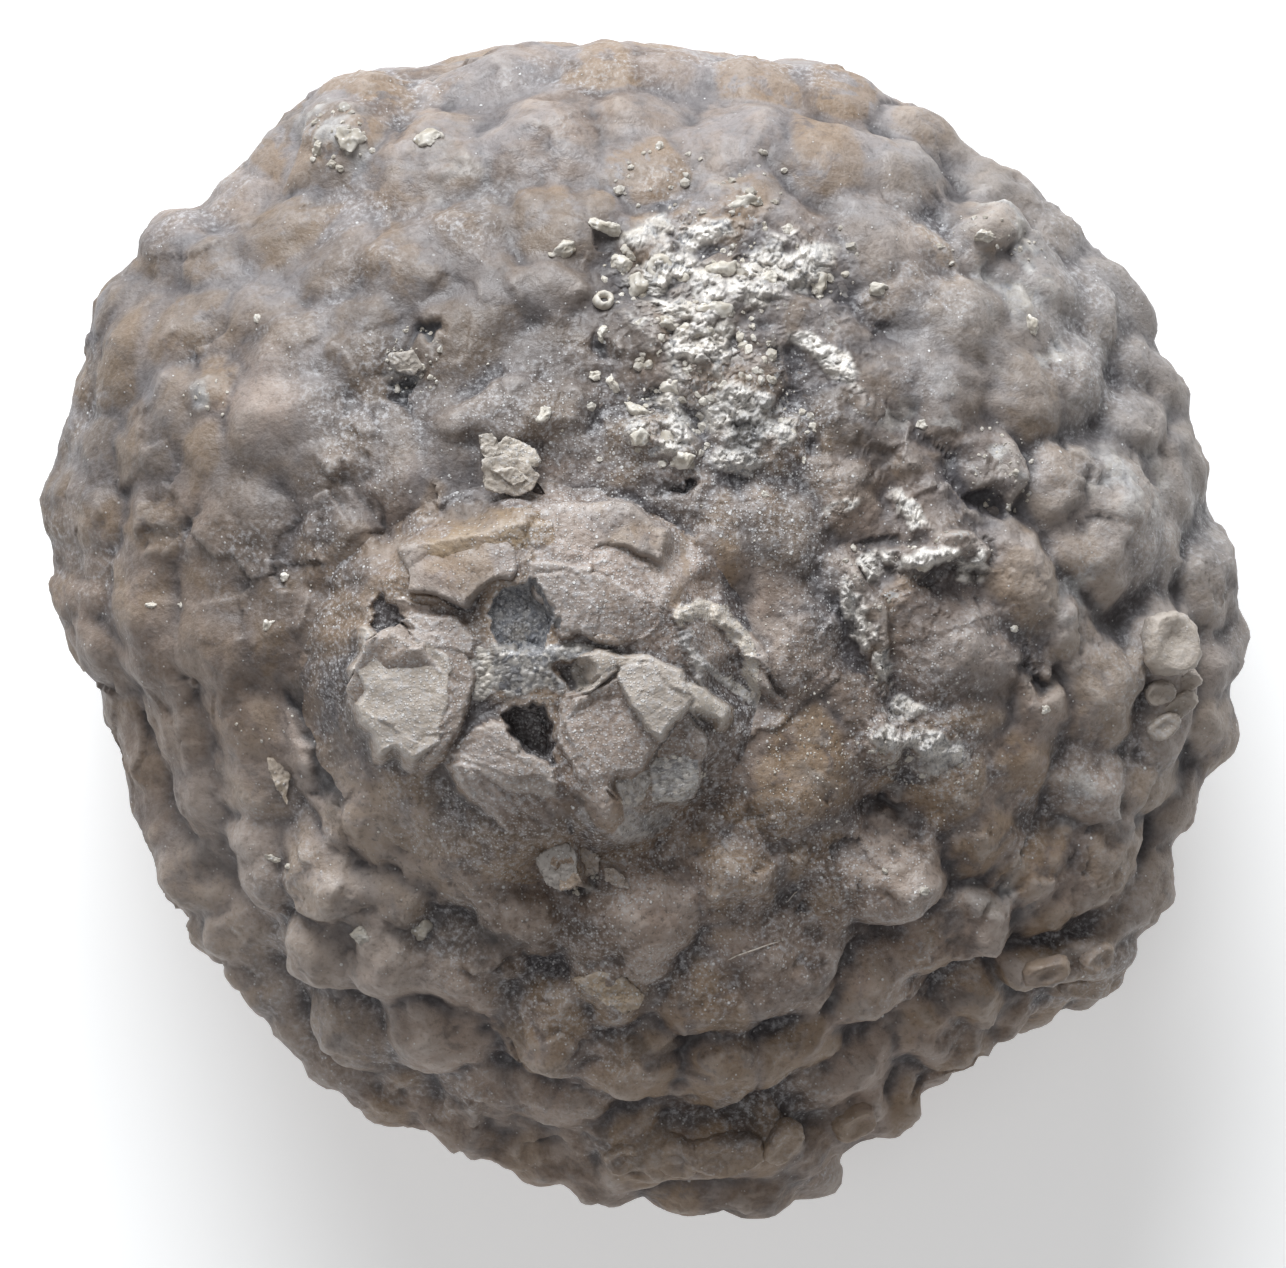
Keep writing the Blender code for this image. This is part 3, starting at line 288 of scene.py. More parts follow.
# The broken stub, block by block: corners in plan, height of the top above the plain dome, slopes of
# the top to the right and the back, steepness of the sides, and looks.
STUB = [
    # the plates at the back, which fall away behind
    ([(-6.12, 2.02), (-5.88, 2.73), (-5.08, 3.33), (-3.83, 3.48), (-3.08, 3.38), (-2.55, 2.67),
      (-2.88, 1.73), (-4.08, 2.33), (-5.88, 2.05)],
     1.36, 0.06, -0.5, 0.6, {"core": 0.5, "dust": 0.7}),
    ([(-3.33, 3.38), (-1.07, 3.52), (0.05, 3.27), (0.72, 2.48), (0.82, 1.43), (0.42, 0.57), (-0.23, 0.97),
      (-1.32, 1.62), (-2.55, 1.68), (-3.08, 2.73)],
     1.5, -0.12, -0.42, 0.6, {"dust": 0.9}),
    # the ochre face under their edge
    ([(-5.97, 2.0), (-5.08, 2.23), (-4.03, 2.38), (-2.98, 2.52), (-2.83, 1.68), (-2.9, 1.23), (-3.25, 0.88),
      (-4.08, 0.57), (-5.08, 0.68), (-5.75, 1.02), (-6.08, 1.6)],
     1.5, 0.1, 0.3, 1.2, {"core": 1.0, "fresh": 0.2, "ochre": 0.8}),
    ([(-3.92, 2.38), (-3.08, 2.62), (-2.27, 2.48), (-2.08, 1.57), (-2.83, 1.57), (-3.45, 1.73)],
     1.66, -0.05, 0.0, 1.4, {"core": 1.0, "ochre": 0.6, "dust": 0.3}),
    # the cracked chip and the dark face under it
    ([(-2.88, 1.57), (-1.32, 1.6), (-1.1, 1.25), (-0.93, 0.8), (-1.18, 0.03), (-1.93, -0.12), (-2.45, 0.47),
      (-2.88, 1.18)],
     2.0, 0.02, 0.02, 3.0, {"fresh": 0.9}),
    ([(-1.7, 1.5), (-0.78, 1.2), (-0.23, 0.93), (0.47, 0.45), (0.62, 0.03), (-0.07, -0.28), (-1.5, -0.1),
      (-1.3, 0.7)],
     1.93, -0.13, 0.03, 3.0, {"fresh": 0.8, "dust": 0.5}),
    ([(-2.45, 0.57), (-1.07, 0.17), (0.05, -0.12), (0.62, -0.28), (0.23, -0.78), (-1.07, -0.72),
      (-2.23, -0.33)],
     1.5, -0.02, 0.7, 1.6, {"core": 1.0}),
    # a small block left of the pit
    ([(-6.03, 0.72), (-5.33, 0.6), (-5.03, 0.17), (-5.97, 0.05)], 1.35, 0.0, 0.2, 2.2, {"fresh": 0.4}),
    # the pale chunk, its right side, spike and shoulder
    ([(-6.78, -0.28), (-6.38, -0.35), (-5.45, -0.28), (-4.9, -0.65), (-4.83, -1.77), (-5.08, -2.83),
      (-5.67, -3.12), (-6.08, -2.83), (-6.38, -2.98), (-6.58, -2.48), (-6.88, -2.33), (-7.08, -1.93),
      (-6.9, -1.52), (-7.12, -1.07), (-6.92, -0.65)],
     2.1, 0.0, -0.16, 3.4, {"fresh": 1.0, "pale": 0.45, "dust": 0.4}),
    ([(-5.33, -0.28), (-4.42, -0.53), (-4.22, -0.97), (-4.38, -1.9), (-4.7, -2.73), (-5.17, -3.08),
      (-4.92, -1.77), (-5.08, -0.65)],
     1.9, -0.3, -0.15, 2.4, {"fresh": 0.9, "core": 0.4}),
    ([(-6.92, -0.03), (-6.62, -0.3), (-6.12, -0.72), (-6.42, -1.07), (-6.88, -0.78)],
     1.8, -0.1, -0.2, 3.0, {"fresh": 1.0, "pale": 0.5}),
    ([(-6.28, -0.12), (-5.58, 0.33), (-4.7, 0.23), (-4.17, -0.28), (-4.22, -0.57), (-5.33, -0.42),
      (-6.08, -0.42)],
     1.72, -0.1, -0.2, 1.8, {"dust": 0.5, "fresh": 0.5}),
    # crusts round the pit
    ([(-4.83, -0.47), (-4.2, -0.38), (-3.65, -0.68), (-3.58, -1.52), (-4.33, -1.82), (-4.83, -1.38)],
     1.46, -0.05, 0.0, 1.0, {"crust": 1.0, "pale": 0.5}),
    ([(-3.65, -0.53), (-2.08, -0.42), (-0.97, -0.82), (-1.38, -1.27), (-1.82, -1.62), (-2.83, -1.93),
      (-3.58, -1.88)],
     1.6, 0.0, 0.25, 1.0, {"crust": 0.7, "core": 0.6}),
    # the long chip: its back, crest and flank
    ([(-4.83, -3.02), (-4.17, -2.58), (-3.65, -2.38), (-3.02, -2.58), (-2.45, -3.02), (-2.17, -3.77),
      (-3.08, -3.62), (-4.08, -3.33)],
     1.8, 0.03, -0.1, 2.2, {"fresh": 1.0, "pale": 0.1}),
    ([(-4.75, -3.08), (-4.08, -3.33), (-3.08, -3.62), (-2.12, -3.88), (-2.17, -4.08), (-3.2, -3.88),
      (-4.33, -3.52)],
     1.78, -0.02, 0.15, 2.2, {"fresh": 1.0, "pale": 0.2}),
    ([(-4.67, -3.38), (-3.58, -3.58), (-2.12, -3.92), (-1.02, -4.33), (-0.23, -5.17), (-0.97, -5.58),
      (-2.08, -5.53), (-3.38, -4.92), (-4.22, -4.12)],
     1.3, -0.14, 0.4, 2.2, {"fresh": 0.8, "ribs": 1.0}),
    # the wedge, rounded to the left
    ([(-1.93, -1.62), (-1.27, -1.48), (-0.62, -1.07), (-0.28, -1.93), (0.05, -2.42), (0.3, -2.88),
      (-0.07, -3.38), (-0.78, -3.67), (-1.07, -4.28), (-1.57, -3.67), (-2.02, -2.65)],
     1.86, 0.06, -0.06, 2.2, {"fresh": 0.5, "dust": 0.4}),
    ([(-2.38, -1.77), (-1.82, -1.62), (-1.48, -2.77), (-0.97, -4.03), (-0.97, -4.58), (-1.82, -3.92),
      (-2.38, -2.9)],
     1.6, 0.5, 0.0, 1.6, {"fresh": 0.4}),
    # its slab, a loose chip and a thin flake
    ([(-0.68, -0.82), (0.17, -0.78), (0.9, -1.07), (1.12, -1.75), (0.45, -2.67), (0.12, -2.42),
      (-0.23, -1.93)],
     2.08, -0.06, -0.1, 3.0, {"fresh": 1.0, "pale": 0.45}),
    ([(-1.75, -1.07), (-1.5, -0.78), (-1.12, -0.68), (-0.65, -0.82), (-0.72, -1.12), (-1.07, -1.32),
      (-1.32, -1.57), (-1.65, -1.35)],
     1.98, 0.0, -0.05, 3.0, {"fresh": 1.0, "pale": 0.45}),
    ([(1.02, -1.38), (1.48, -1.52), (2.02, -2.12), (1.88, -2.33), (1.43, -2.05), (1.07, -1.82)],
     1.74, -0.1, -0.1, 3.0, {"fresh": 1.0, "pale": 0.6}),
    # the rough flank on the right
    ([(0.42, -0.53), (1.43, -1.18), (2.23, -2.15), (1.98, -3.08), (1.27, -4.28), (0.35, -5.08),
      (-0.45, -5.03), (-0.97, -4.42), (-0.12, -3.42), (0.33, -2.73)],
     1.26, -0.36, 0.14, 0.8, {"crust": 0.45, "dust": 0.9}),
    ([(-0.93, -3.52), (-0.53, -3.2), (-0.03, -3.33), (0.12, -3.77), (-0.17, -4.28), (-0.78, -4.28)],
     1.56, 0.0, 0.1, 1.4, {"core": 0.9, "crust": 0.5, "dust": 0.9, "ochre": 0.4}),
    ([(0.23, -3.4), (0.72, -3.08), (1.23, -3.27), (1.32, -3.83), (0.93, -4.28), (0.33, -4.22)],
     1.36, -0.2, 0.1, 1.4, {"core": 0.9, "crust": 0.6, "dust": 0.9, "ochre": 0.3}),
    # faces left of the stub
    ([(-8.32, 1.73), (-7.33, 2.02), (-6.28, 1.98), (-6.12, 0.78), (-6.67, -0.28), (-7.83, -0.4),
      (-8.38, 0.23)],
     0.75, 0.2, 0.0, 1.0, {"dust": 0.4}),
    ([(-8.07, 2.98), (-7.45, 3.48), (-6.7, 4.03), (-6.08, 3.98), (-5.95, 3.23), (-6.28, 2.23),
      (-7.33, 2.23)],
     0.8, 0.1, -0.16, 1.0, {"core": 0.7, "dust": 0.4, "fresh": 0.4}),
    ([(-7.7, -0.65), (-6.92, -0.53), (-7.08, -1.77), (-7.45, -2.27), (-7.83, -1.52)],
     0.8, 0.1, 0.1, 1.0, {"fresh": 0.3}),
    ([(-7.2, -3.48), (-6.58, -3.33), (-5.08, -3.67), (-3.83, -4.58), (-3.08, -5.92), (-4.58, -6.38),
      (-6.08, -5.88), (-7.08, -5.12)],
     0.7, 0.12, 0.1, 1.0, {"core": 1.0, "ochre": 0.4}),
]

# Hollows dug in the stub: corners in plan, height of the floor above the plain dome, steepness of the
# sides, and crust on the floor.
DIGS = [
    # the salty pit
    ([(-3.75, 0.5), (-3.4, 0.9), (-2.9, 1.0), (-2.65, 0.7), (-2.4, 0.2), (-2.5, -0.35), (-3.0, -0.45),
      (-3.5, -0.35), (-3.75, 0.0)],
     1.15, 2.6, 1.0),
    # the gap under the long chip
    ([(-3.25, -2.15), (-2.5, -1.95), (-2.35, -2.65), (-2.3, -3.15), (-2.6, -2.95), (-3.0, -2.6)],
     0.5, 4.5, 0.0),
    # a small hole and a dark corner
    ([(-2.08, -1.07), (-1.7, -1.0), (-1.55, -1.2), (-1.88, -1.35)], 1.2, 2.0, 0.2),
    ([(-6.67, 0.62), (-6.45, 0.78), (-6.08, 0.42), (-6.0, -0.07), (-6.45, -0.28), (-6.67, 0.1)],
     0.9, 3.0, 0.0),
]

# Fine patches of the surface: middle in plan and half-sizes, and points along a side.
STUB_PATCH = ((-2.8, -1.3), (6.0, 5.2), 310)
GRIT_PATCH = ((2.1, 7.0), (4.6, 4.2), 275)
CRACK_PATCH = ((7.0, 0.6), (3.4, 4.8), 255)

# Ridges drawn on the stub's patch: places in plan, half-width, height, looks.
RIDGES = [
    ([(0.95, 0.4), (1.4, 0.55), (1.95, 0.35), (2.3, -0.1), (2.65, -0.55), (2.85, -1.5), (3.0, -2.1)],
     0.22, 0.3, {"pale": 0.7, "crust": 0.3}),
    ([(1.2, -0.5), (1.5, -0.9), (2.1, -1.3), (2.5, -1.7), (2.9, -2.0)],
     0.16, 0.22, {"pale": 0.3, "crust": 0.6}),
    ([(1.0, 0.0), (1.1, -0.5), (1.5, -1.3)], 0.14, 0.15, {"crust": 0.5}),
]

# Packed grains in crusts: how wide the gap between them is, as a share of their size, and their sizes in
# the pit of the stub and, large and small, in the cemented crusts.
COBBLE_EDGE = 0.2
PIT_COBBLE = 0.15
CRUST_COBBLES = (0.45, 0.17)

# Cemented crusts: middle in plan, half-lengths along and across, turn in degrees, thickness.
GRIT_CRUSTS = [
    (0.7, 8.4, 1.6, 1.2, 10, 0.5), (1.4, 6.8, 1.5, 1.1, -20, 0.55), (0.3, 5.1, 1.1, 0.9, -30, 0.5),
    (2.6, 5.3, 1.6, 0.9, -25, 0.35), (3.4, 8.9, 1.6, 0.9, 20, 0.35), (2.4, 4.3, 0.8, 0.5, 0, 0.3),
    (-1.9, 9.4, 0.7, 0.4, 10, 0.35), (1.0, 9.9, 1.8, 0.5, 5, 0.3), (4.6, 6.6, 1.5, 0.4, -35, 0.3),
]
CRACK_CRUSTS = [
    (5.3, 0.4, 0.35, 1.3, 8, 0.45), (5.9, -0.9, 0.28, 1.1, 5, 0.45), (5.5, 1.6, 0.7, 0.5, 0, 0.45),
    (7.1, 1.75, 1.3, 0.4, 8, 0.55), (8.2, 1.5, 0.5, 0.45, 20, 0.6), (6.1, -2.7, 0.6, 0.6, 0, 0.6),
    (7.2, -3.1, 1.2, 0.5, -15, 0.35), (8.9, 4.1, 0.45, 0.9, 12, 0.55), (6.5, -2.0, 0.6, 0.3, 0, 0.3),
    (6.6, 2.9, 0.9, 0.3, -30, 0.25), (4.9, 3.0, 0.6, 0.3, 0, 0.25),
]

# Loose chips stuck to the dome: corners in plan, height of the middle above the surface, slopes to the
# right and the back, thickness, looks.
LOOSE_CHIPS = [
    ([(-4.1, 4.8), (-3.75, 4.85), (-3.5, 4.5), (-3.4, 4.2), (-3.7, 4.0), (-3.95, 4.3)],
     0.08, 0.1, -0.1, 0.14, {"pale": 0.6}),
    ([(-3.6, 4.6), (-3.35, 4.85), (-2.95, 4.6), (-2.7, 4.5), (-2.5, 4.1), (-2.9, 3.95), (-3.5, 4.3)],
     0.16, 0.1, -0.1, 0.15, {"pale": 0.7}),
    ([(-4.0, 4.2), (-3.4, 4.3), (-2.9, 4.1), (-2.6, 3.8), (-2.7, 3.5), (-3.1, 3.3), (-3.6, 3.35),
      (-3.9, 3.5)],
     0.05, 0.0, 0.05, 0.14, {"pale": 0.55, "core": 0.4}),
    ([(-3.75, 3.95), (-3.2, 4.0), (-2.85, 3.75), (-3.2, 3.55)], 0.16, -0.1, 0.1, 0.12, {"pale": 0.7}),
    ([(-2.65, -5.7), (-2.3, -5.4), (-1.9, -5.3), (-1.6, -5.6), (-1.7, -6.2), (-2.0, -6.5), (-2.4, -6.3)],
     0.14, 0.15, 0.3, 0.3, {"pale": 0.15, "crust": 0.5, "core": 0.6}),
    ([(-1.9, -5.45), (-1.4, -5.35), (-1.1, -5.6), (-1.1, -6.0), (-1.5, -6.2), (-1.8, -6.1)],
     0.22, -0.15, 0.2, 0.3, {"pale": 0.2, "core": 0.7, "crust": 0.3}),
    ([(-2.2, -5.9), (-1.7, -5.7), (-1.5, -6.3), (-2.0, -6.5)],
     0.2, 0.2, -0.2, 0.25, {"pale": 0.2, "core": 0.5}),
    ([(-0.95, -5.9), (-0.6, -6.0), (-0.25, -6.45), (-0.6, -6.4), (-0.95, -6.25)],
     0.16, 0.1, 0.1, 0.12, {"pale": 0.4}),
    ([(-1.75, -8.7), (-1.1, -8.5), (-0.55, -8.6), (0.05, -9.05), (-0.05, -9.4), (-0.45, -9.55),
      (-0.95, -9.3), (-1.4, -9.0)],
     0.14, -0.05, 0.3, 0.18, {"pale": 0.3, "core": 1.0, "ochre": 0.7}),
    ([(-9.35, -3.2), (-8.95, -3.2), (-8.75, -3.6), (-8.85, -4.35), (-9.1, -4.0)],
     0.12, 0.0, 0.1, 0.12, {"pale": 0.4, "ochre": 0.6}),
    ([(-6.35, 6.8), (-5.7, 6.9), (-5.45, 6.5), (-5.7, 6.3), (-6.1, 6.35)],
     0.2, 0.1, 0.1, 0.2, {"pale": 0.5}),
]

# Grains of grit: place in plan, half-length, width to length, turn in degrees, flatness, paleness.
GRAINS = [
    (-1.95, 9.4, 0.5, 0.5, 20, 0.6, 0.6), (-0.95, 10.0, 0.55, 0.35, -10, 0.5, 0.7),
    (-0.6, 9.1, 0.36, 0.95, 30, 0.9, 0.8), (-0.1, 8.5, 0.42, 0.9, 0, 0.7, 0.6),
    (1.95, 8.9, 0.52, 0.45, 12, 0.7, 0.9), (-0.98, 7.35, 0.28, 0.5, 80, 0.8, 0.9),
    (0.55, 7.6, 0.36, 0.7, 0, 0.7, 0.6), (1.4, 7.35, 0.5, 0.5, 10, 0.6, 1.2),
    (1.8, 7.95, 0.6, 0.5, 5, 0.6, 0.8), (0.8, 6.05, 0.52, 0.7, -25, 0.5, 1.3),
    (-0.75, 6.1, 0.35, 0.35, -60, 0.6, 0.9), (-0.1, 5.4, 0.5, 0.4, -35, 0.6, 0.8),
    (-0.1, 4.75, 0.38, 0.8, 0, 0.7, 1.0), (0.75, 4.7, 0.36, 0.9, 0, 0.8, 0.5),
    (0.95, 4.2, 0.38, 0.7, 15, 0.7, 1.0), (4.3, 8.5, 0.45, 0.5, 70, 0.6, 0.7),
    (3.15, 8.7, 0.3, 0.6, 0, 0.7, 0.8), (3.6, 9.9, 0.3, 0.6, 0, 0.7, 0.6),
    (2.6, 10.6, 0.55, 0.35, 5, 0.6, 0.6), (5.8, 8.4, 0.35, 0.7, 0, 0.7, 0.7),
    (-0.8, 10.0, 0.25, 0.7, 0, 0.8, 0.7), (-2.45, 5.35, 0.3, 0.6, 60, 0.6, 0.9),
    (-1.2, 6.3, 0.26, 0.6, 15, 0.7, 1.1), (-1.3, 5.5, 0.2, 0.8, 0, 0.7, 0.5),
    (-1.1, 4.2, 0.1, 0.8, 0, 0.8, 1.0), (3.0, 3.35, 0.16, 0.7, 0, 0.8, 0.8),
    (4.0, 4.2, 0.14, 0.6, 90, 0.8, 1.3), (-8.9, 1.3, 0.2, 0.7, 30, 0.8, 1.1),
    (-9.3, 0.1, 0.25, 0.6, 60, 0.7, 0.7), (-9.6, 7.7, 0.16, 0.7, 90, 0.7, 0.8),
    (-8.1, 12.0, 0.24, 0.7, 60, 0.8, 0.6), (-7.3, 12.2, 0.5, 0.8, 0, 0.5, 0.5),
    (-5.3, 12.2, 0.4, 0.8, 0, 0.5, 0.6), (7.0, 1.6, 0.26, 0.8, 0, 0.8, 0.8),
    (6.9, 5.1, 0.2, 0.8, 0, 0.8, 0.7), (9.7, 7.5, 0.35, 0.4, 100, 0.6, 0.9),
    (8.5, 9.8, 0.3, 0.6, 0, 0.7, 0.7), (7.0, -6.5, 0.2, 0.7, 30, 0.7, 0.4),
    (6.0, -6.0, 0.14, 0.7, 0, 0.7, 0.4), (-7.0, -7.6, 0.35, 0.8, 0, 0.7, 0.4),
    (-5.5, -7.5, 0.35, 0.9, 0, 0.7, 0.4), (10.0, -2.0, 0.16, 0.8, 0, 0.8, 0.9),
    (9.2, 0.0, 0.15, 0.8, 0, 0.8, 0.9), (-5.5, 6.5, 0.12, 0.8, 0, 0.8, 1.2),
    (-5.3, 6.25, 0.1, 0.8, 0, 0.8, 1.1), (-9.2, -5.7, 0.25, 0.3, -20, 0.5, 0.8),
    (-8.8, -5.9, 0.2, 0.4, -30, 0.5, 0.8), (-12.2, 0.6, 0.22, 0.4, 0, 0.5, 0.8),
    (-11.5, 0.6, 0.14, 0.5, 0, 0.5, 0.8),
]
GRAIN_LEVEL, GRAIN_SINK = 4, 0.55

# Ring-shaped grains: place in plan, radius, radius of the hole.
RING_GRAINS = [(0.45, 8.95, 0.38, 0.13), (-1.0, 8.1, 0.28, 0.11)]
RING_THICK = 0.28

# Sand: oval in plan and its turn, number of grains, smallest and largest half-length, paleness.
SAND_LEVEL, SAND_FLAT, SAND_SINK = 2, 0.7, 0.45
SAND = [
    ((0.6, 8.6, 2.0, 1.1, 0), 70, 0.06, 0.3, 0.8), ((1.5, 6.8, 1.7, 1.3, 0), 130, 0.05, 0.24, 1.0),
    ((0.6, 5.0, 1.2, 0.9, -30), 60, 0.05, 0.2, 0.8), ((2.8, 5.4, 1.6, 1.0, -20), 60, 0.04, 0.18, 0.6),
    ((3.6, 9.0, 2.2, 1.2, 0), 60, 0.05, 0.2, 0.6), ((1.5, 11.2, 2.6, 0.9, 0), 40, 0.06, 0.22, 0.5),
    ((8.9, 4.0, 0.8, 1.2, 10), 60, 0.03, 0.12, 0.5), ((7.4, 1.9, 1.4, 0.5, 5), 50, 0.03, 0.14, 0.8),
    ((5.6, 0.4, 0.6, 1.8, 12), 50, 0.03, 0.13, 0.7), ((6.1, -2.7, 0.8, 0.7, 0), 40, 0.03, 0.14, 0.7),
    ((7.2, -3.3, 1.3, 0.7, 0), 40, 0.03, 0.12, 0.6), ((8.6, 9.6, 1.4, 1.0, 0), 30, 0.03, 0.14, 0.5),
    ((4.1, -3.3, 1.3, 1.9, 0), 220, 0.012, 0.05, 1.2), ((0.2, -3.6, 1.4, 1.4, 0), 160, 0.012, 0.06, 1.2),
    ((5.5, -1.0, 3.5, 3.0, 0), 200, 0.012, 0.04, 1.2), ((-3.0, 0.2, 0.7, 0.6, 0), 150, 0.012, 0.05, 1.3),
    ((-3.1, -0.2, 0.7, 0.9, 0), 60, 0.04, 0.12, 0.4), ((-4.3, -1.0, 0.5, 0.5, 0), 40, 0.04, 0.15, 1.0),
    ((-1.8, -6.0, 0.7, 0.6, 0), 30, 0.05, 0.15, 0.6), ((1.0, -3.9, 1.1, 0.8, 0), 40, 0.04, 0.12, 0.9),
    ((2.1, -0.9, 0.9, 0.9, 0), 30, 0.04, 0.1, 0.7), ((-5.7, 6.7, 0.8, 0.9, 0), 40, 0.04, 0.14, 0.6),
    ((-10.9, 5.7, 0.6, 0.6, 0), 12, 0.04, 0.1, 0.5), ((-7.5, 12.2, 1.0, 0.8, 0), 30, 0.06, 0.2, 0.5),
    ((-9.2, -2.4, 0.9, 0.5, 0), 10, 0.03, 0.09, 0.8), ((0, 0, 9.0, 9.0, 0), 200, 0.02, 0.06, 0.8),
]

# Dust fibres: places in plan, radius, lift above the surface, paleness.
THREADS = [
    ([(2.1, -8.2), (2.6, -8.0), (3.4, -7.75)], 0.018, 0.05, 0.8),
    ([(3.55, -6.8), (3.75, -6.55), (3.85, -6.5)], 0.015, 0.04, 0.8),
]

# Arm plates: place in plan, radius, thickness, lean and where to, squash, turn, lift.
OSSICLES = [
    (13.05, -0.35, 0.72, 0.75, 25, 10, 1.1, 8, 0.12), (13.45, -1.3, 0.42, 0.5, 15, -60, 0.65, 30, 0.05),
    (12.85, -1.6, 0.36, 0.5, 15, -65, 0.8, 30, 0.05), (13.3, -1.9, 0.5, 0.5, 15, -70, 0.6, 30, 0.05),
    (12.95, -2.4, 0.44, 0.45, 15, -70, 0.6, 30, 0.05), (10.05, -8.55, 0.6, 0.5, 30, -60, 0.55, 15, 0.1),
    (11.3, -8.2, 0.5, 0.45, 40, -40, 0.6, 20, 0.05), (10.7, -8.9, 0.4, 0.35, 45, -60, 0.7, 0, 0.0),
    (5.3, -12.3, 0.55, 0.5, 40, -60, 0.8, 20, 0.0), (2.1, -13.1, 0.9, 0.6, 30, -90, 0.6, 10, -0.2),
    (0.9, -13.35, 0.6, 0.6, 40, -110, 0.9, -25, -0.2), (3.5, -12.9, 0.6, 0.6, 45, -60, 0.75, 60, -0.2),
    (-0.5, -13.2, 0.5, 0.5, 30, -100, 0.7, 35, -0.15),
]
# An arm plate's profile from the middle of its face to the middle of its back: shares of its radius and
# of its thickness. Its corners are rounded off to this power, and its edge has this many ribs.
OSSICLE_PROFILE = [
    (0.0, 0.26), (0.2, 0.28), (0.42, 0.36), (0.66, 0.46), (0.84, 0.46), (0.95, 0.34), (1.0, 0.1),
    (1.0, -0.15), (0.94, -0.42), (0.7, -0.5), (0.0, -0.5),
]
OSSICLE_POWER = 2.7
OSSICLE_RIBS = 14
OSSICLE_SIDES = 44


def smooth(value):
    """0 to 1 with no corner at either end."""
    value = np.clip(value, 0.0, 1.0)
    return value * value * (3.0 - 2.0 * value)


def between(a, b, c, d, t):
    """A share t of the way from b to c on a smooth curve through a, b, c and d."""
    return 0.5 * (2 * b + (c - a) * t + (2 * a - 5 * b + 4 * c - d) * t**2 + (3 * b - a - 3 * c + d) * t**3)


def closed_curve(points, steps=10):
    """Points on a smooth closed curve through the given ones."""
    p = np.array(points)
    around = (np.roll(p, -k, axis=0)[:, None, :] for k in (-1, 0, 1, 2))
    return between(*around, (np.arange(steps) / steps)[None, :, None]).reshape(-1, 2)


def rim_radius(turn, out=1.0):
    """The body's radius from the crown in plan at these angles. Small notches of the rim fade inwards."""
    away = closed_curve(OUTLINE) - np.array(CROWN)
    angles = np.arctan2(away[:, 1], away[:, 0])
    order = np.argsort(angles)
    true, reach = angles[order], np.hypot(*away.T)[order]
    sides = np.linspace(-NOTCH_SPAN, NOTCH_SPAN, 9)
    plain = sum(np.interp(turn + side, true, reach, period=math.tau) for side in sides) / len(sides)
    return plain + (np.interp(turn, true, reach, period=math.tau) - plain) * out**NOTCH_FADE


def dome_height(out):
    """The plain dome's height, out being 0 at the crown and 1 at the rim."""
    full, steep = DOME_POWERS
    return RIM_HEIGHT + (HEIGHT - RIM_HEIGHT) * (1.0 - np.clip(out, 0, 1) ** full) ** steep


def plain_body(share, turn):
    """Points of the body without its relief. share is 0 at the crown and 1 under the middle."""
    above = np.minimum(share / RIM_SHARE, 1.0) ** SPREAD
    below = np.clip((share - RIM_SHARE) / (1.0 - RIM_SHARE), 0.0, 1.0)
    quarter = np.minimum(below / CURL_SHARE, 1.0) * math.pi / 2
    out = np.where(
        below > CURL_SHARE,
        FOOT_OUTER * (1.0 - below) / (1.0 - CURL_SHARE),
        np.where(below > 0, FOOT_OUTER + (1 - FOOT_OUTER) * np.cos(quarter), np.sin(above * math.pi / 2)),
    )
    hollow = HOLLOW * smooth((FOOT_INNER - out) / FOOT_FADE)
    low = np.where(below > CURL_SHARE, hollow, RIM_HEIGHT * (1.0 - np.sin(quarter)))
    height = np.where(below > 0, low, dome_height(out))
    middle = np.where(below[:, None] > 0, 0.0, np.array(CROWN))
    reach = rim_radius(turn, out)
    rim = np.array(CROWN) + np.stack([reach * np.cos(turn), reach * np.sin(turn)], axis=1)
    plan = middle * (1 - out[:, None]) + rim * out[:, None]
    return np.column_stack([plan, height])


def on_dome(x, y):
    """The point of the plain dome at a place in plan."""
    away = np.array([x - CROWN[0], y - CROWN[1]])
    turn = math.atan2(away[1], away[0])
    out = min(math.hypot(*away) / float(rim_radius(turn)), 0.99)
    return np.array([x, y, float(dome_height(out))])


def under_rim(out):
    """The plain cup's height between the resting ring and the rim."""
    return RIM_HEIGHT * (1.0 - math.sqrt(1.0 - ((out - FOOT_OUTER) / (1.0 - FOOT_OUTER)) ** 2))


def cup_plates():
    """The cup's plates: five basals, five radials and those between, then rings up the flank."""
    plates = []
    for out, to_a_ray, radius in CUP_RINGS:
        for number in range(to_a_ray * RAYS):
            turn = FIRST_RAY + number * math.tau / (to_a_ray * RAYS)
            reach = out * float(rim_radius(turn))
            height = under_rim(out) if out > FOOT_OUTER else HOLLOW
            plates.append((np.array([reach * math.cos(turn), reach * math.sin(turn), height]), radius))
    return plates


def rim_plates():
    """The plates that turn over the rim."""
    turns = [number * math.tau / RIM_PLATES for number in range(RIM_PLATES)]
    reach = [RIM_PLATE_OUT * float(rim_radius(turn)) for turn in turns]
    return [(CROWN[0] + r * math.cos(t), CROWN[1] + r * math.sin(t), RIM_PLATE_RADIUS)
            for r, t in zip(reach, turns)]


def all_plates():
    """Every plate's middle and radius."""
    dome = PLATES_ABOVE_CROWN + PLATES_BACK + PLATES_LEFT + PLATES_RIGHT + PLATES_FRONT + rim_plates()
    return [(on_dome(x, y), radius) for x, y, radius in dome] + cup_plates()


def waves(points, length, octaves=1):
    """Smooth noise, about -1 to 1, with waves this long in millimetres."""
    return np.array([noise.fractal(Vector(p) / length, 1.0, 2.0, octaves) for p in points])


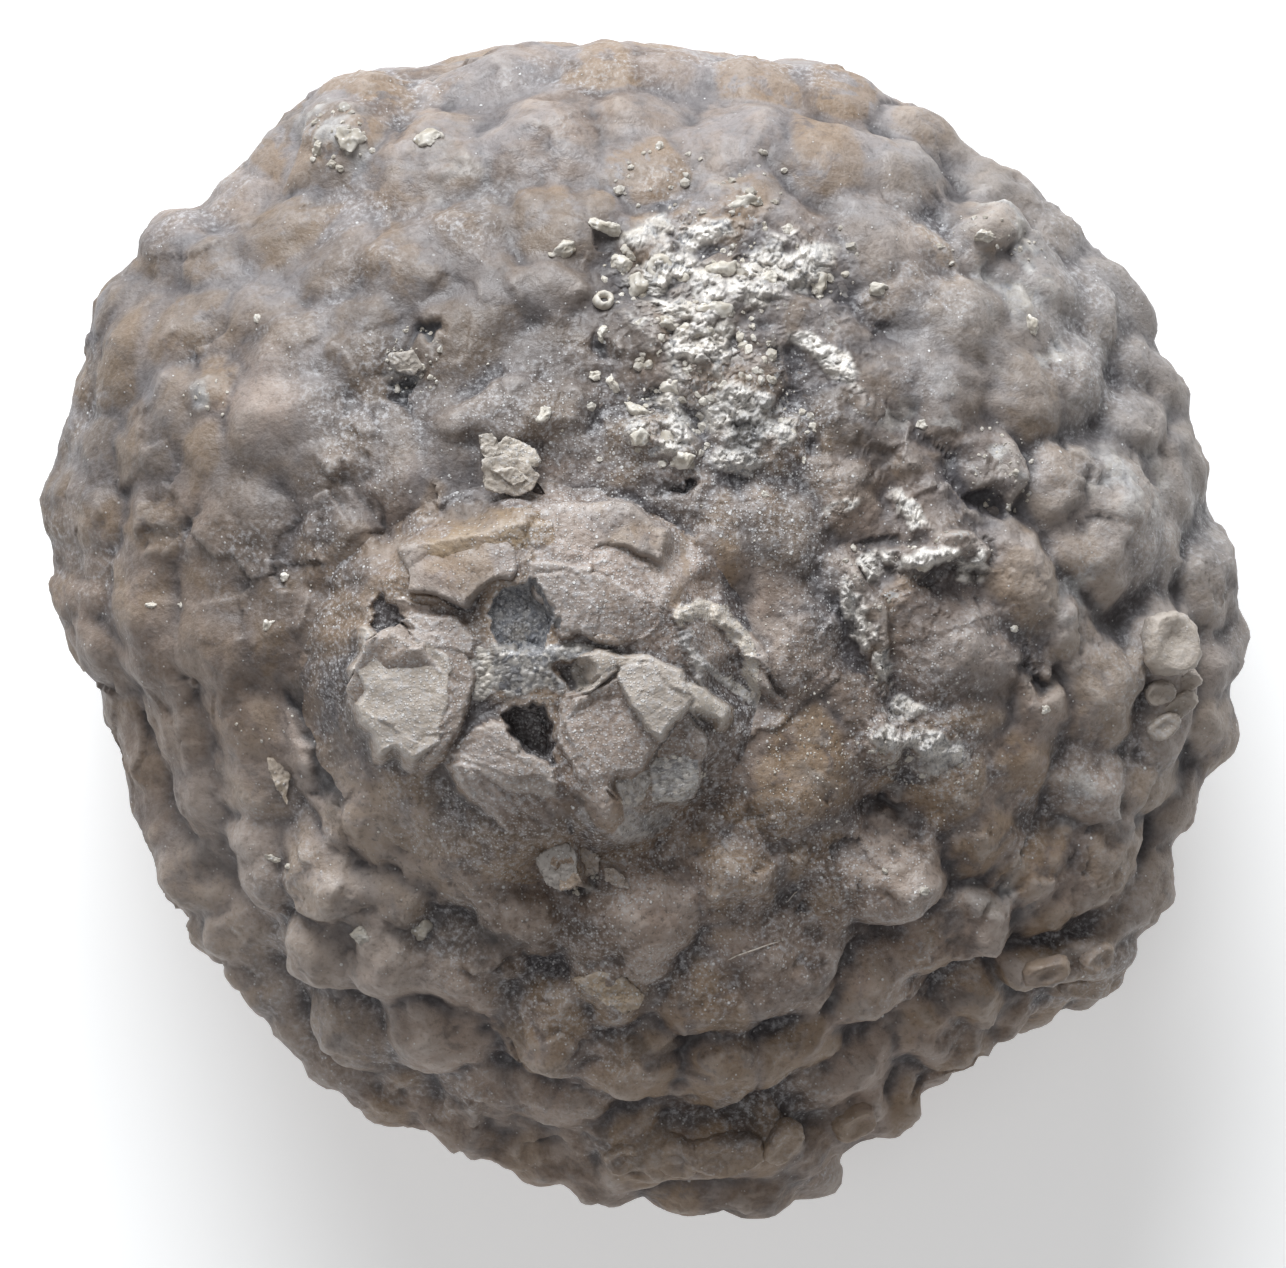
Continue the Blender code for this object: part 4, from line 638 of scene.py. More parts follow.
def wandering(points, length, reach, shift=0.0):
    """The points moved about by smooth noise, so that what is drawn through them isn't straight. The
    shift takes the noise from another place."""
    points = points + shift
    return points + reach * np.array([noise.noise_vector(Vector(p) / length) for p in points]) - shift


def plate_relief(points):
    """A low cap on each plate; the caps meet in creases. Also how far each point is from a crease,
    as a height, and a number from 0 to 1 that is the same all over a plate."""
    moved = wandering(wandering(points, 1.9, CREASE_WANDER), 0.7, 0.4 * CREASE_WANDER)
    luck = random.Random(SEED)
    total = np.full(len(points), math.exp(-CREASE_SHARPNESS * CREASE_DEPTH))
    best = np.full(len(points), FAR_BELOW)
    second = best.copy()
    kind = np.zeros(len(points))
    kinds = random.Random(SEED + 1)
    for middle, radius in all_plates():
        top = PLATE_SIZE_RISE * (radius - PLATE_COMMON) + luck.uniform(-PLATE_STEP, PLATE_STEP)
        tilt = np.array([luck.uniform(-1, 1) for _ in range(3)]) * PLATE_TILT
        around = np.array([-middle[1], middle[0], luck.uniform(-6, 6)])
        around /= np.linalg.norm(around)
        away = moved - middle
        spread = (away**2).sum(axis=1) - luck.uniform(*PLATE_STRETCH) * (away @ around) ** 2
        cap = top + away @ tilt - PLATE_BOW / radius * spread
        total += np.exp(CREASE_SHARPNESS * cap)
        second = np.maximum(second, np.minimum(best, cap))
        kind = np.where(cap > best, kinds.random(), kind)
        best = np.maximum(best, cap)
    return np.log(total) / CREASE_SHARPNESS, best - second, kind


def mound(points, x, y, along, across, degrees, steep):
    """1 in the middle of an oval in plan and 0 outside it; 0 on the underside too."""
    turn = math.radians(degrees)
    away = points[:, :2] - np.array([x, y])
    u = away @ np.array([math.cos(turn), math.sin(turn)]) / along
    v = away @ np.array([-math.sin(turn), math.cos(turn)]) / across
    return np.where(points[:, 2] > DRAWN_ABOVE, smooth((OVAL_EDGE - np.hypot(u, v)) * steep), 0.0)


def sides_of(corners):
    """The two ends of each side of an outline."""
    corners = np.array(corners)
    return zip(corners, np.roll(corners, -1, axis=0))


def stretches(places):
    """The two ends of each stretch of a broken line."""
    return np.array(list(zip(places, places[1:])))


def right_of(start, end):
    """The way that is square to a side, on its right."""
    side = (end - start) / np.linalg.norm(end - start)
    return np.array([side[1], -side[0]])


def block(points, corners, height, right, back):
    """Where a block with a flat, sloping top stands, from 0 outside its corners to 1, and its top."""
    inside = np.full(len(points), 1e9)
    for start, end in sides_of(corners):
        inside = np.minimum(inside, (points[:, :2] - start) @ right_of(start, end))
    top = height + (points[:, :2] - np.mean(corners, axis=0)) @ np.array([right, back])
    return np.where(points[:, 2] > RIM_HEIGHT, smooth(inside / BLOCK_EDGE), 0.0), top


def step(points, places, width):
    """A sharp step along a broken line in plan: 1 just left of the line, fading away from it, and 0 right
    of it."""
    out = np.zeros(len(points))
    for start, end in stretches(places):
        way = end - start
        away = points[:, :2] - start
        share = away @ way / (way @ way)
        left = (way[0] * away[:, 1] - way[1] * away[:, 0]) / np.linalg.norm(way)
        ends = smooth(4 * (1.1 - np.abs(2 * share - 1)))
        fade = smooth(1.0 - left / width) * smooth(left / STEP_EDGE) * ends
        out = np.maximum(out, fade)
    return np.where(points[:, 2] > RIM_HEIGHT, out, 0.0)


def worn(points):
    """How much of the plates' relief is left: less at the back and a little on the left, more at the
    front and on the right."""
    left_over = np.ones(len(points))
    for axis, start, full, change in WEAR:
        left_over += change * smooth((points[:, axis] - start) / (full - start))
    return np.where(points[:, 2] > WORN_ABOVE, left_over, 1.0)


def stem_facet(points):
    """The round rim that the stem was joined to, its fine crenulation, and the canal through it."""
    out = np.hypot(points[:, 0], points[:, 1])
    turn = np.arctan2(points[:, 1], points[:, 0])
    (half_width, high), (count, tall) = STEM_RIM, STEM_TEETH
    rim = smooth(1 - np.abs(out - STEM_RADIUS) / half_width)
    teeth = tall * rim * np.cos(count * turn)
    canal = -LUMEN_DEPTH * smooth((LUMEN_RADIUS * (1 + 0.25 * np.cos(RAYS * turn)) - out) / 0.4 + 0.5)
    return np.where(points[:, 2] < STEM_BELOW, high * rim + teeth + canal, 0.0)


def broken_facets(points, size, tilt, step):
    """Small flat faces at odd angles, as on chipped stone."""
    out = np.empty(len(points))
    for i, p in enumerate(points):
        cell = noise.voronoi(Vector(p) / size)[1][0]
        lean = noise.cell_vector(cell * 37.0) * 2 - Vector((1, 1, 1))
        out[i] = step * lean.z + tilt * size * (Vector(p) / size - cell).dot(lean)
    return out


def crease_shade_mask(points, from_crease):
    """1 in a crease between plates, fading to its sides, where painted shade darkens the stone. It comes and
    goes along the creases.
    """
    shown = smooth(0.45 + 1.3 * waves(points + 23, 2.2, 2))
    return np.exp(-from_crease / CREASE_WIDTH) * shown


def relief(points):
    """How far each point moves out along its normal, and the masks that colour the stone. Heights and
    wave lengths are in millimetres."""
    moved = wandering(points, 1.3, 0.25)
    ragged = wandering(wandering(moved, 0.9, 0.22), 0.35, 0.1)
    frayed = wandering(wandering(moved, 0.9, 0.4), 0.35, 0.25)
    out, from_crease, kind = plate_relief(points)
    strength = worn(points)
    out = out * strength + 0.3 * waves(points, 5.0) + 0.2
    out += STUB_SWELL * mound(moved, *STUB_MIDDLE, STUB_RADIUS, STUB_RADIUS, 0, STUB_STEEP)
    for x, y, along, across, degrees, height in LUMPS:
        out += height * mound(ragged, x, y, along, across, degrees, LUMP_STEEP)
    for corners, height, right, back in STUB_BLOCKS:
        share, top = block(ragged, corners, height - BLOCK_DROP, right, back)
        out += share * np.maximum(top - out, 0.0)
    # Painted shade in the pits.
    dark = np.zeros(len(points))
    for x, y, along, across, degrees, depth, pit_shade_share in PITS:
        here = mound(frayed, x, y, along, across, degrees, PIT_STEEP)
        out -= depth * here
        dark = np.maximum(dark, pit_shade_share * here)
    for places, height, width in STEPS:
        out += height * step(ragged, places, width)
    for first, last, half_width, half_thick, height, count in ARM_STUBS:
        first, last = np.array(first), np.array(last)
        degrees = math.degrees(math.atan2(last[1] - first[1], last[0] - first[0]))
        for share in np.linspace(0, 1, count):
            x, y = first + (last - first) * share
            share = mound(points, x, y, half_thick, half_width, degrees, ARM_STEEP)
            out += share * np.maximum(height - out, 0.0)
    crust = np.zeros(len(points))
    for x, y, radius, rough in CRUSTS:
        crust = np.maximum(crust, rough * mound(ragged, x, y, radius, radius, 0, CRUST_STEEP))
    crust *= smooth(0.45 + 2.2 * waves(points, 0.7, 3))
    chipped = smooth(0.5 + 1.5 * waves(points + 11, 3.0))
    out += 0.12 * strength * waves(points, 1.1, 3)
    out += 0.05 * strength * np.abs(waves(points + 41, 1.6, 2))
    out += chipped * broken_facets(points, 1.2, 0.12, 0.02)
    out += strength * broken_facets(points, 0.45, 0.06, 0.0)
    out += crust * (0.2 * waves(points, 0.6, 5) + 0.22 * np.abs(waves(points + 7, 0.33, 2)) - 0.05)
    out += 0.015 * waves(points + 3, 0.22, 2)
    # The masks for painted shade in creases and pits go along with the stone's own looks.
    masks = {"crease": crease_shade_mask(points, from_crease), "core": smooth(from_crease / 0.5) * kind,
             "crust": crust, "tone": 0.6 * waves(points, 0.3, 3) - 0.1, "dark": dark}
    return out + stem_facet(points), masks


def ball():
    """A cube with even squares on each side, as a mesh and its corners' directions."""
    shape = bmesh.new()
    bmesh.ops.create_cube(shape, size=2.0)
    bmesh.ops.subdivide_edges(shape, edges=shape.edges[:], cuts=CUTS, use_grid_fill=True)
    mesh = bpy.data.meshes.new("calyx_fine")
    shape.to_mesh(mesh)
    shape.free()
    even = np.empty(len(mesh.vertices) * 3)
    mesh.vertices.foreach_get("co", even)
    even = np.tan(even.reshape(-1, 3) * math.pi / 4)
    return mesh, even / np.linalg.norm(even, axis=1)[:, None]


def place(mesh, points):
    """Moves a mesh's corners to these points."""
    mesh.vertices.foreach_set("co", points.ravel())
    mesh.update()


def normals_of(mesh):
    """The surface's normal at each corner of a mesh."""
    found = np.empty(len(mesh.vertices) * 3)
    mesh.vertices.foreach_get("normal", found)
    return found.reshape(-1, 3)


def spread_out(mesh, values, times):
    """The values averaged with those next to them, this many times."""
    ends = np.empty(len(mesh.edges) * 2, int)
    mesh.edges.foreach_get("vertices", ends)
    a, b = ends.reshape(-1, 2).T
    count = np.bincount(a, minlength=len(values)) + np.bincount(b, minlength=len(values))
    for _ in range(times):
        near = np.bincount(a, values[b], len(values)) + np.bincount(b, values[a], len(values))
        values = 0.5 * values + 0.5 * near / count
    return values


def added(name, data):
    """A new object of the scene."""
    piece = bpy.data.objects.new(name, data)
    bpy.context.scene.collection.objects.link(piece)
    return piece


def calyx():
    """The fossil's whole surface as one fine mesh."""
    mesh, way = ball()
    share = np.arccos(np.clip(way[:, 2], -1, 1)) / math.pi
    turn = np.arctan2(way[:, 1], way[:, 0])
    points = plain_body(share, turn)
    place(mesh, points)
    normals = normals_of(mesh)
    height, masks = relief(points)
    rim = smooth(1.0 - np.abs(share - RIM_SHARE) / 0.05)
    under = (share > RIM_SHARE) * (np.hypot(points[:, 0], points[:, 1]) > STEM_RADIUS * 1.6)
    clear = np.where(under, smooth((points[:, 2] - 0.1) / 1.2), 1.0)
    height = height * (1.0 - 0.5 * rim) * clear
    # Painted shade in small and broad hollows and painted light on rises: how far each point lies under the
    # mean of those near it.
    masks["hollow"] = spread_out(mesh, height, BEND_STEPS) - height
    masks["deep"] = spread_out(mesh, height, SAG_STEPS) - height
    points = points + normals * height[:, None]
    points[:, 2] = np.maximum(points[:, 2], 0.0)
    place(mesh, points * MM)
    for name, values in masks.items():
        mesh.attributes.new(name, "FLOAT", "POINT").data.foreach_set("value", values.astype(np.float32))
    full = added("full", mesh)
    thin = full.modifiers.new("fewer faces", "DECIMATE")
    thin.ratio = TRIANGLES / (2 * len(mesh.polygons))
    made = bpy.data.meshes.new_from_object(full.evaluated_get(bpy.context.evaluated_depsgraph_get()))
    bpy.data.objects.remove(full)
    made.shade_smooth()
    return added("calyx_surface", made)


@functools.cache
def unit_ball(level):
    """Corners and faces of an even ball of radius 1."""
    shape = bmesh.new()
    bmesh.ops.create_icosphere(shape, subdivisions=level, radius=1.0)
    corners = np.array([v.co for v in shape.verts])
    faces = np.array([[v.index for v in f.verts] for f in shape.faces])
    shape.free()
    return corners, faces


def cut_rock(half, planes, level, crisp, rough, grain, seed):
    """A closed rock: an oval ball cut by planes, each an outward normal and a distance from the
    middle. Returns its points, faces and how near each point is to an edge, where a painted highlight goes."""
    way, faces = unit_ball(level)
    start = way * half
    reach = np.linalg.norm(start, axis=1)
    way = start / reach[:, None]
    limits = [reach]
    for i, (normal, away) in enumerate(planes):
        normal = np.array(normal) / np.linalg.norm(normal)
        uneven = 1.0 + rough * waves(way + seed + 3.1 * i, 0.22, 3)
        limits.append(away * uneven / np.maximum(way @ normal, 1e-3))
    limits = np.array(limits)
    cut = (limits ** -crisp).sum(axis=0) ** (-1.0 / crisp)
    nearest = np.sort(limits, axis=0)
    edge = np.exp(-(nearest[1] - nearest[0]) / 0.05)
    points = wandering(way * cut[:, None], grain, rough, 50 * seed)
    return wandering(points, grain * 0.35, rough * 0.6, 90 * seed), faces, edge


def turned(points, degrees, lean=0.0, lean_to=0.0):
    """The points turned about the vertical, then leaned over towards an angle in plan."""
    a = math.radians(degrees)
    spin = np.array([[math.cos(a), -math.sin(a), 0], [math.sin(a), math.cos(a), 0], [0, 0, 1]])
    t, b = math.radians(lean_to), math.radians(lean)
    axis = np.array([-math.sin(t), math.cos(t), 0])
    k = np.array([[0, -axis[2], axis[1]], [axis[2], 0, -axis[0]], [-axis[1], axis[0], 0]])
    tip = np.eye(3) + math.sin(b) * k + (1 - math.cos(b)) * k @ k
    return points @ spin.T @ tip.T


def laid(points, normal, degrees):
    """The points turned about the vertical, then leaned over as the surface leans."""
    lean = math.degrees(math.acos(min(1.0, normal[2])))
    return turned(points, degrees, lean, math.degrees(math.atan2(normal[1], normal[0])))


def plain_dome(x, y):
    """The plain dome's height at places in plan."""
    away_x, away_y = x - CROWN[0], y - CROWN[1]
    reach = rim_radius(np.arctan2(away_y, away_x))
    return dome_height(np.minimum(np.hypot(away_x, away_y) / reach, 0.99))


def cobbles(points, size):
    """Packed angular grains of about this size: how high each point stands on its grain, from 0 to about
    1, and the tone of its grain, -1 to 1."""
    high = np.empty(len(points))
    tone = np.empty(len(points))
    for i, p in enumerate(points / size):
        away, cells = noise.voronoi(Vector(p))
        luck = noise.cell_vector(cells[0] * 37.0)
        cap = min((away[1] - away[0]) / COBBLE_EDGE, 1.0)
        tilt = (Vector(p) - cells[0]).dot(luck - Vector((0.5, 0.5, 0.5)))
        high[i] = cap * (0.3 + 0.7 * luck.x + 0.6 * tilt)
        tone[i] = 2.0 * luck.y - 1.0
    return high, tone


def line_away(points, sides):
    """How far each point is from the nearest of some straight sides in plan."""
    away = np.full(len(points), 1e9)
    for start, end in sides:
        way = end - start
        share = np.clip((points[:, :2] - start) @ way / (way @ way), 0, 1)
        away = np.minimum(away, np.hypot(*(points[:, :2] - start - share[:, None] * way).T))
    return away


def insides(points, corners):
    """How far each point is inside an outline in plan; negative outside it."""
    x, y = points[:, 0], points[:, 1]
    odd = np.zeros(len(points), bool)
    for start, end in sides_of(corners):
        way = end - start
        if way[1]:
            crosses = (start[1] > y) != (end[1] > y)
            odd ^= crosses & (x < start[0] + way[0] * (y - start[1]) / way[1])
    away = line_away(points, sides_of(corners))
    return np.where(odd, away, -away)


def oval_grid(middle, half, count):
    """An even grid of points bent to fill an oval of the plan: where they are, and how far out, 0 to 1."""
    side = np.linspace(-1, 1, count)
    a, b = np.meshgrid(side, side, indexing="ij")
    wide = np.abs(a) > np.abs(b)
    out = np.where(wide, a, b)
    ratio = np.where(wide, b, a) / np.where(out == 0, 1, out)
    turn = np.where(wide, math.pi / 4 * ratio, math.pi / 2 - math.pi / 4 * ratio)
    x = (middle[0] + half[0] * out * np.cos(turn)).ravel()
    y = (middle[1] + half[1] * out * np.sin(turn)).ravel()
    return x, y, np.abs(out.ravel())


def patch(ground, spot, shape):
    """A closed, finely meshed piece of the surface in an oval of the plan. The shape is a function from
    its points, the plain dome's height there and the looks, which it changes, to the points' heights."""
    count = spot[2]
    x, y, out = oval_grid(*spot)
    base = np.array([ground(u, v)[0][2] for u, v in zip(x, y)])
    plain = plain_dome(x, y)
    looks = {key: np.zeros(len(x)) for key in LOOKS}
    below = np.column_stack([x, y, plain])
    _, from_crease, kind = plate_relief(below)
    frayed = wandering(below, 0.9, 0.4)
    # Painted shade in the pits and the creases, as on the calyx.
    for spot_x, spot_y, along, across, degrees, _, pit_shade_share in PITS:
        here = mound(frayed, spot_x, spot_y, along, across, degrees, PIT_STEEP)
        looks["dark"] = np.maximum(looks["dark"], pit_shade_share * here)
    looks["crease"] = crease_shade_mask(below, from_crease)
    looks["core"] = smooth(from_crease / 0.5) * kind
    top = shape(np.column_stack([x, y, base]), plain, looks)
    high = (top - plain).reshape(count, count)
    # Painted shade in small and broad hollows and painted light on rises, as on the calyx.
    looks["hollow"] += (blurred(high, PATCH_BEND) - high).ravel()
    looks["deep"] += (blurred(high, PATCH_SAG) - high).ravel()
    border_away = 1.0 - out
    rising = smooth((border_away - 0.02) / 0.07 + 0.4 * waves(below, 0.6, 2) * smooth(border_away / 0.03))
    detail = smooth(border_away / 0.3 + 0.25 * waves(below + 17, 1.1, 2) * smooth(border_away / 0.05))
    top = base - SUNK * (1 - rising) + SKIN * rising + (top - base - SKIN) * detail * rising
    faces = grid_faces(count)
    loop = border(count)
    start = len(x)
    points = np.column_stack([x, y, top])
    points = np.concatenate([points, points[loop] - (0, 0, PATCH_DEPTH)])
    foot = list(range(start, start + len(loop)))
    for k, after in enumerate(loop[1:] + loop[:1]):
        faces.append([loop[k], foot[k], foot[(k + 1) % len(loop)], after])
    faces.append(foot[::-1])
    looks = {key: np.concatenate([values, values[loop]]) for key, values in looks.items()}
    return points, faces, looks, looks["edge"]


def grid_faces(count):
    """The faces of a square grid with this many points along a side."""
    i, j = np.meshgrid(np.arange(count - 1), np.arange(count - 1), indexing="ij")
    a = (i * count + j).ravel()
    return np.stack([a, a + count, a + count + 1, a + 1], axis=-1).tolist()


def border(count):
    """The grid's outer points in order."""
    last = count - 1
    sides = [[k for k in range(last)], [k * count + last for k in range(last)],
             [last * count + last - k for k in range(last)], [(last - k) * count for k in range(last)]]
    return [k for side in sides for k in side]


def blurred(values, reach):
    """A grid of values averaged over squares of this half-size, twice."""
    for _ in range(2):
        for axis in (0, 1):
            pad = [(reach + 1, reach) if k == axis else (0, 0) for k in (0, 1)]
            total = np.cumsum(np.pad(values, pad, mode="edge"), axis=axis)
            width = 2 * reach + 1
            upper = np.take(total, range(width, total.shape[axis]), axis=axis)
            lower = np.take(total, range(0, total.shape[axis] - width), axis=axis)
            values = (upper - lower) / width
    return values


def stub(ground):
    """The broken stub: blocks with sloping tops, grown together, and dug out where it is hollow."""

    def shape(points, plain, looks):
        ragged = wandering(wandering(points, 0.9, 0.17), 0.16, 0.035)
        level = points[:, 2] + SKIN - plain
        rough = 0.07 * waves(points, 1.1, 2)
        tops, insets = [], []
        for corners, top, right, back, steep, given in STUB:
            middle = np.mean(corners, axis=0)
            away = points[:, :2] - middle
            bow = STUB_BOW * np.minimum((away**2).sum(axis=1), 2.0)
            high = top + away @ np.array([right, back]) + rough - bow
            if "ribs" in given:
                along = points[:, 0] * 0.8 + points[:, 1] * 0.6
                left = smooth((-1.9 - points[:, 0]) / 1.0)
                high = high + 0.03 * left * np.sin(math.tau * along / RIB_LENGTH + 2 * waves(points, 0.7))
            tops.append(high)
            insets.append(insides(ragged, corners))
        soft = [min(0.5, STUB_REACH / steep) for _, _, _, _, steep, _ in STUB]
        shares = [np.exp(np.minimum(inside, 0.0) / reach) for inside, reach in zip(insets, soft)]
        whole = sum(shares)
        fused = sum(share * high for share, high in zip(shares, tops)) / whole - STUB_FUSED_DROP
        level = level + smooth(whole / 0.7) * (fused - level)
        total = np.exp(STUB_SHARPNESS * (level - STUB_MIDDLE_HEIGHT))
        best = level.copy()
        looks["core"] = np.maximum(looks["core"], 0.5 * smooth(whole / 0.7))
        shown = smooth(0.3 + 1.8 * waves(points + 3, 0.5))
        for (_, _, _, _, steep, given), high, inside in zip(STUB, tops, insets):
            high = high + steep * np.minimum(inside, 0.0)
            total += np.exp(STUB_SHARPNESS * (np.maximum(high, -2.0) - STUB_MIDDLE_HEIGHT))
            wins = smooth((high - best) / 0.06)
            best = np.maximum(best, high)
            for key in looks:
                looks[key] = looks[key] * (1 - wins)
            crisp = min(1.0, 0.5 * steep)
            side = crisp * smooth(-inside / 0.12 - 0.3)
            for key, value in given.items():
                if key in looks:
                    looks[key] += wins * value * (1 - 0.6 * side)
            looks["core"] += 0.5 * wins * side
            # The steep sides of blocks get a little painted shade.
            looks["deep"] += 0.1 * wins * side
            # A painted highlight along the blocks' outlines.
            looks["edge"] += 0.7 * crisp * wins * shown * np.exp(-((inside - 0.01) / 0.03) ** 2)
        out = STUB_MIDDLE_HEIGHT + np.log(total) / STUB_SHARPNESS
        for corners, floor_height, steep, crust in DIGS:
            inside = insides(wandering(ragged, 0.3, 0.12), corners)
            dug = floor_height + steep * np.maximum(-inside, 0.0)
            deeper = smooth((out - dug) / 0.15)
            out = np.minimum(out, dug)
            looks["crust"] = np.maximum(looks["crust"] * (1 - deeper), crust * deeper)
            looks["tone"] -= 1.1 * deeper * crust
            looks["fresh"] *= 1 - deeper
            looks["edge"] *= 1 - deeper
        frayed = wandering(wandering(points, 0.5, 0.2), 0.15, 0.08)
        for places, width, height, given in RIDGES:
            near = smooth(1.2 - line_away(frayed, stretches(places)) / width)
            out += near * height * (0.7 + waves(points, 0.35, 3))
            for key, value in given.items():
                looks[key] = np.maximum(looks[key], value * smooth(2 * near))
        out += 0.03 * waves(points, 0.5, 3) * (1 - 0.4 * looks["fresh"])
        out += 0.03 * waves(points + 31, 1.3, 2)
        out += 0.012 * waves(points, 0.14, 2)
        out += 0.02 * broken_facets(points, 0.5, 1.0, 0.3)
        high, tone = cobbles(points, PIT_COBBLE)
        looks["tone"] += tone * looks["crust"]
        out += looks["crust"] * 0.1 * (high - 0.4)
        return plain + out

    return patch(ground, STUB_PATCH, shape)


def crusty(ground, spot, crusts):
    """A patch with crusts of cemented grit."""

    def shape(points, plain, looks):
        ragged = wandering(wandering(points, 0.9, 0.35), 0.3, 0.15)
        mask = np.zeros(len(points))
        thick = np.zeros(len(points))
        for x, y, along, across, degrees, height in crusts:
            here = mound(ragged, x, y, along, across, degrees, GRIT_STEEP)
            mask = np.maximum(mask, here)
            thick = np.maximum(thick, here * height)
        broken = smooth(0.55 + 1.5 * waves(points + 5, 0.8, 3))
        fuzzy = wandering(points, 0.12, 0.05)
        coarse, coarse_tone = cobbles(fuzzy, CRUST_COBBLES[0])
        small, small_tone = cobbles(fuzzy + 9, CRUST_COBBLES[1])
        looks["crust"] = mask * (0.25 + 0.75 * broken)
        # Painted shade in the gaps between the cemented grains.
        gap_shade = 0.7 * smooth(1 - coarse / 0.25) + 0.4 * smooth(1 - small / 0.2)
        looks["tone"] = 0.75 + 0.5 * coarse_tone + 0.35 * small_tone - gap_shade * smooth(broken * 1.5)
        out = thick * broken * (0.4 + 0.4 * coarse) + mask * 0.1 * (small - 0.3)
        out += mask * (0.1 * waves(points + 2, 0.3, 4) + 0.05 * waves(points, 0.12, 3))
        out += 0.025 * waves(points, 0.4, 3) + 0.012 * broken_facets(points, 0.35, 1.0, 0.3)
        return points[:, 2] + SKIN + out

    return patch(ground, spot, shape)


def loose_chips(ground):
    """Flat chips lying on the dome."""
    rocks = []
    for i, (corners, lift, right, back, thick, looks) in enumerate(LOOSE_CHIPS):
        middle = np.mean(corners, axis=0)
        spot = ground(*middle)[0]
        away = np.array(corners) - middle
        planes = []
        for start, end in sides_of(away):
            out = right_of(start, end)
            out *= np.sign(start @ out)
            planes.append(((out[0], out[1], 0.0), float(start @ out)))
        rise = np.array([-right, -back, 1.0])
        planes.append((rise, thick / 2 / np.linalg.norm(rise)))
        planes.append(((0, 0, -1.0), thick / 2))
        half = np.array([*(np.abs(away).max(axis=0) * 1.8), thick * 1.5])
        points, faces, edge = cut_rock(half, planes, 5, 60, 0.06, 0.25, 0.37 * i)
        points[:, 2] += 0.03 * waves(points + i, 0.3, 3)
        rocks.append((points + spot + np.array([0, 0, lift - thick / 2]), faces, looks, 0.6 * edge))
    return rocks


def grain_at(ground, x, y, size, luck, looks, level, flat, sink, stretch=None, degrees=None):
    """One angular grain lying on the surface, or None where the surface is too steep for it."""
    found = ground(x, y)
    if found is None:
        return None
    spot, normal = found
    if normal[2] < 0.12:
        return None
    stretch = stretch or luck.uniform(0.65, 1.0)
    half = size * np.array([1.0, stretch, flat * luck.uniform(0.7, 1.1)])
    planes = []
    for _ in range(11):
        way = np.array([luck.gauss(0, 1) for _ in range(3)])
        way /= np.linalg.norm(way)
        planes.append((way, float(np.linalg.norm(way * half)) * luck.uniform(0.5, 0.85)))
    points, faces, edge = cut_rock(half, planes, level, 50, 0.16 * size, 0.5 * size, luck.uniform(0, 9))
    points = laid(points, normal, luck.uniform(0, 360) if degrees is None else degrees)
    return points + spot + normal * half[2] * (1 - 2 * sink), faces, looks, edge


def ring_grain(ground, x, y, radius, hole, looks, luck, steps=40, sides=14):
    """A small ring, as of a fallen arm plate."""
    spot, normal = ground(x, y)
    u = np.arange(steps) / steps * math.tau
    v = np.arange(sides) / sides * math.tau
    uu, vv = np.meshgrid(u, v, indexing="ij")
    wide = (radius - hole) / 2
    out = (radius + hole) / 2 + wide * np.cos(vv)
    points = np.stack([out * np.cos(uu), out * np.sin(uu) * 0.9, RING_THICK / 2 * np.sin(vv)], axis=-1)
    points = wandering(points.reshape(-1, 3) + luck.uniform(0, 50), 0.12, 0.025)
    points -= points.mean(axis=0)
    points = laid(points, normal, luck.uniform(0, 360))
    lift = normal * RING_THICK * 0.35
    # The whole ring gets an even share of the painted edge highlight.
    return points + spot + lift, quads(steps, sides, True), looks, np.full(len(points), 0.3)


def quads(rows, columns, closed):
    """Faces of a grid of points that is closed across, and along too where asked."""
    i, j = np.meshgrid(np.arange(rows if closed else rows - 1), np.arange(columns), indexing="ij")
    a = i * columns + j
    b = i * columns + (j + 1) % columns
    c = (i + 1) % rows * columns + (j + 1) % columns
    d = (i + 1) % rows * columns + j
    return np.stack([a, d, c, b], axis=-1).reshape(-1, 4)


def capped(rows, sides):
    """Faces of a tube of rings of points, with its two ends."""
    faces = [list(f) for f in quads(rows, sides, False)]
    return faces + [list(range(sides))[::-1], [(rows - 1) * sides + k for k in range(sides)]]


def thread(ground, places, radius, lift, looks, steps=12, sides=8):
    """A fibre lying on the surface along a smooth line through places in plan."""
    spots = []
    for x, y in smooth_line(places, steps):
        found = ground(x, y)
        if found is not None:
            spots.append(found[0] + found[1] * lift)
    spots = np.array(spots)
    for _ in range(3):
        spots[1:-1] = (spots[:-2] + 2 * spots[1:-1] + spots[2:]) / 4
    along = np.gradient(spots, axis=0)
    along /= np.linalg.norm(along, axis=1)[:, None]
    side = np.cross(along, (0, 0, 1.0))
    side /= np.linalg.norm(side, axis=1)[:, None]
    up = np.cross(side, along)
    share = np.linspace(0, 1, len(spots))
    wide = radius * (1 - np.abs(2 * share - 1) ** 4 * 0.95)
    turn = np.arange(sides) / sides * math.tau
    ring = side[:, None, :] * np.cos(turn)[None, :, None] + up[:, None, :] * np.sin(turn)[None, :, None]
    points = (spots[:, None, :] + wide[:, None, None] * ring).reshape(-1, 3)
    # The whole fibre gets an even share of the painted edge highlight.
    return points, capped(len(spots), sides), looks, np.full(len(points), 0.4)


def smooth_line(places, steps):
    """Points on a smooth open line through places in plan."""
    p = np.array([places[0], *places, places[-1]])
    shares = np.arange(steps) / steps
    out = [between(a, b, c, d, t) for a, b, c, d in zip(p, p[1:], p[2:], p[3:]) for t in shares]
    return np.array(out + [p[-1]])


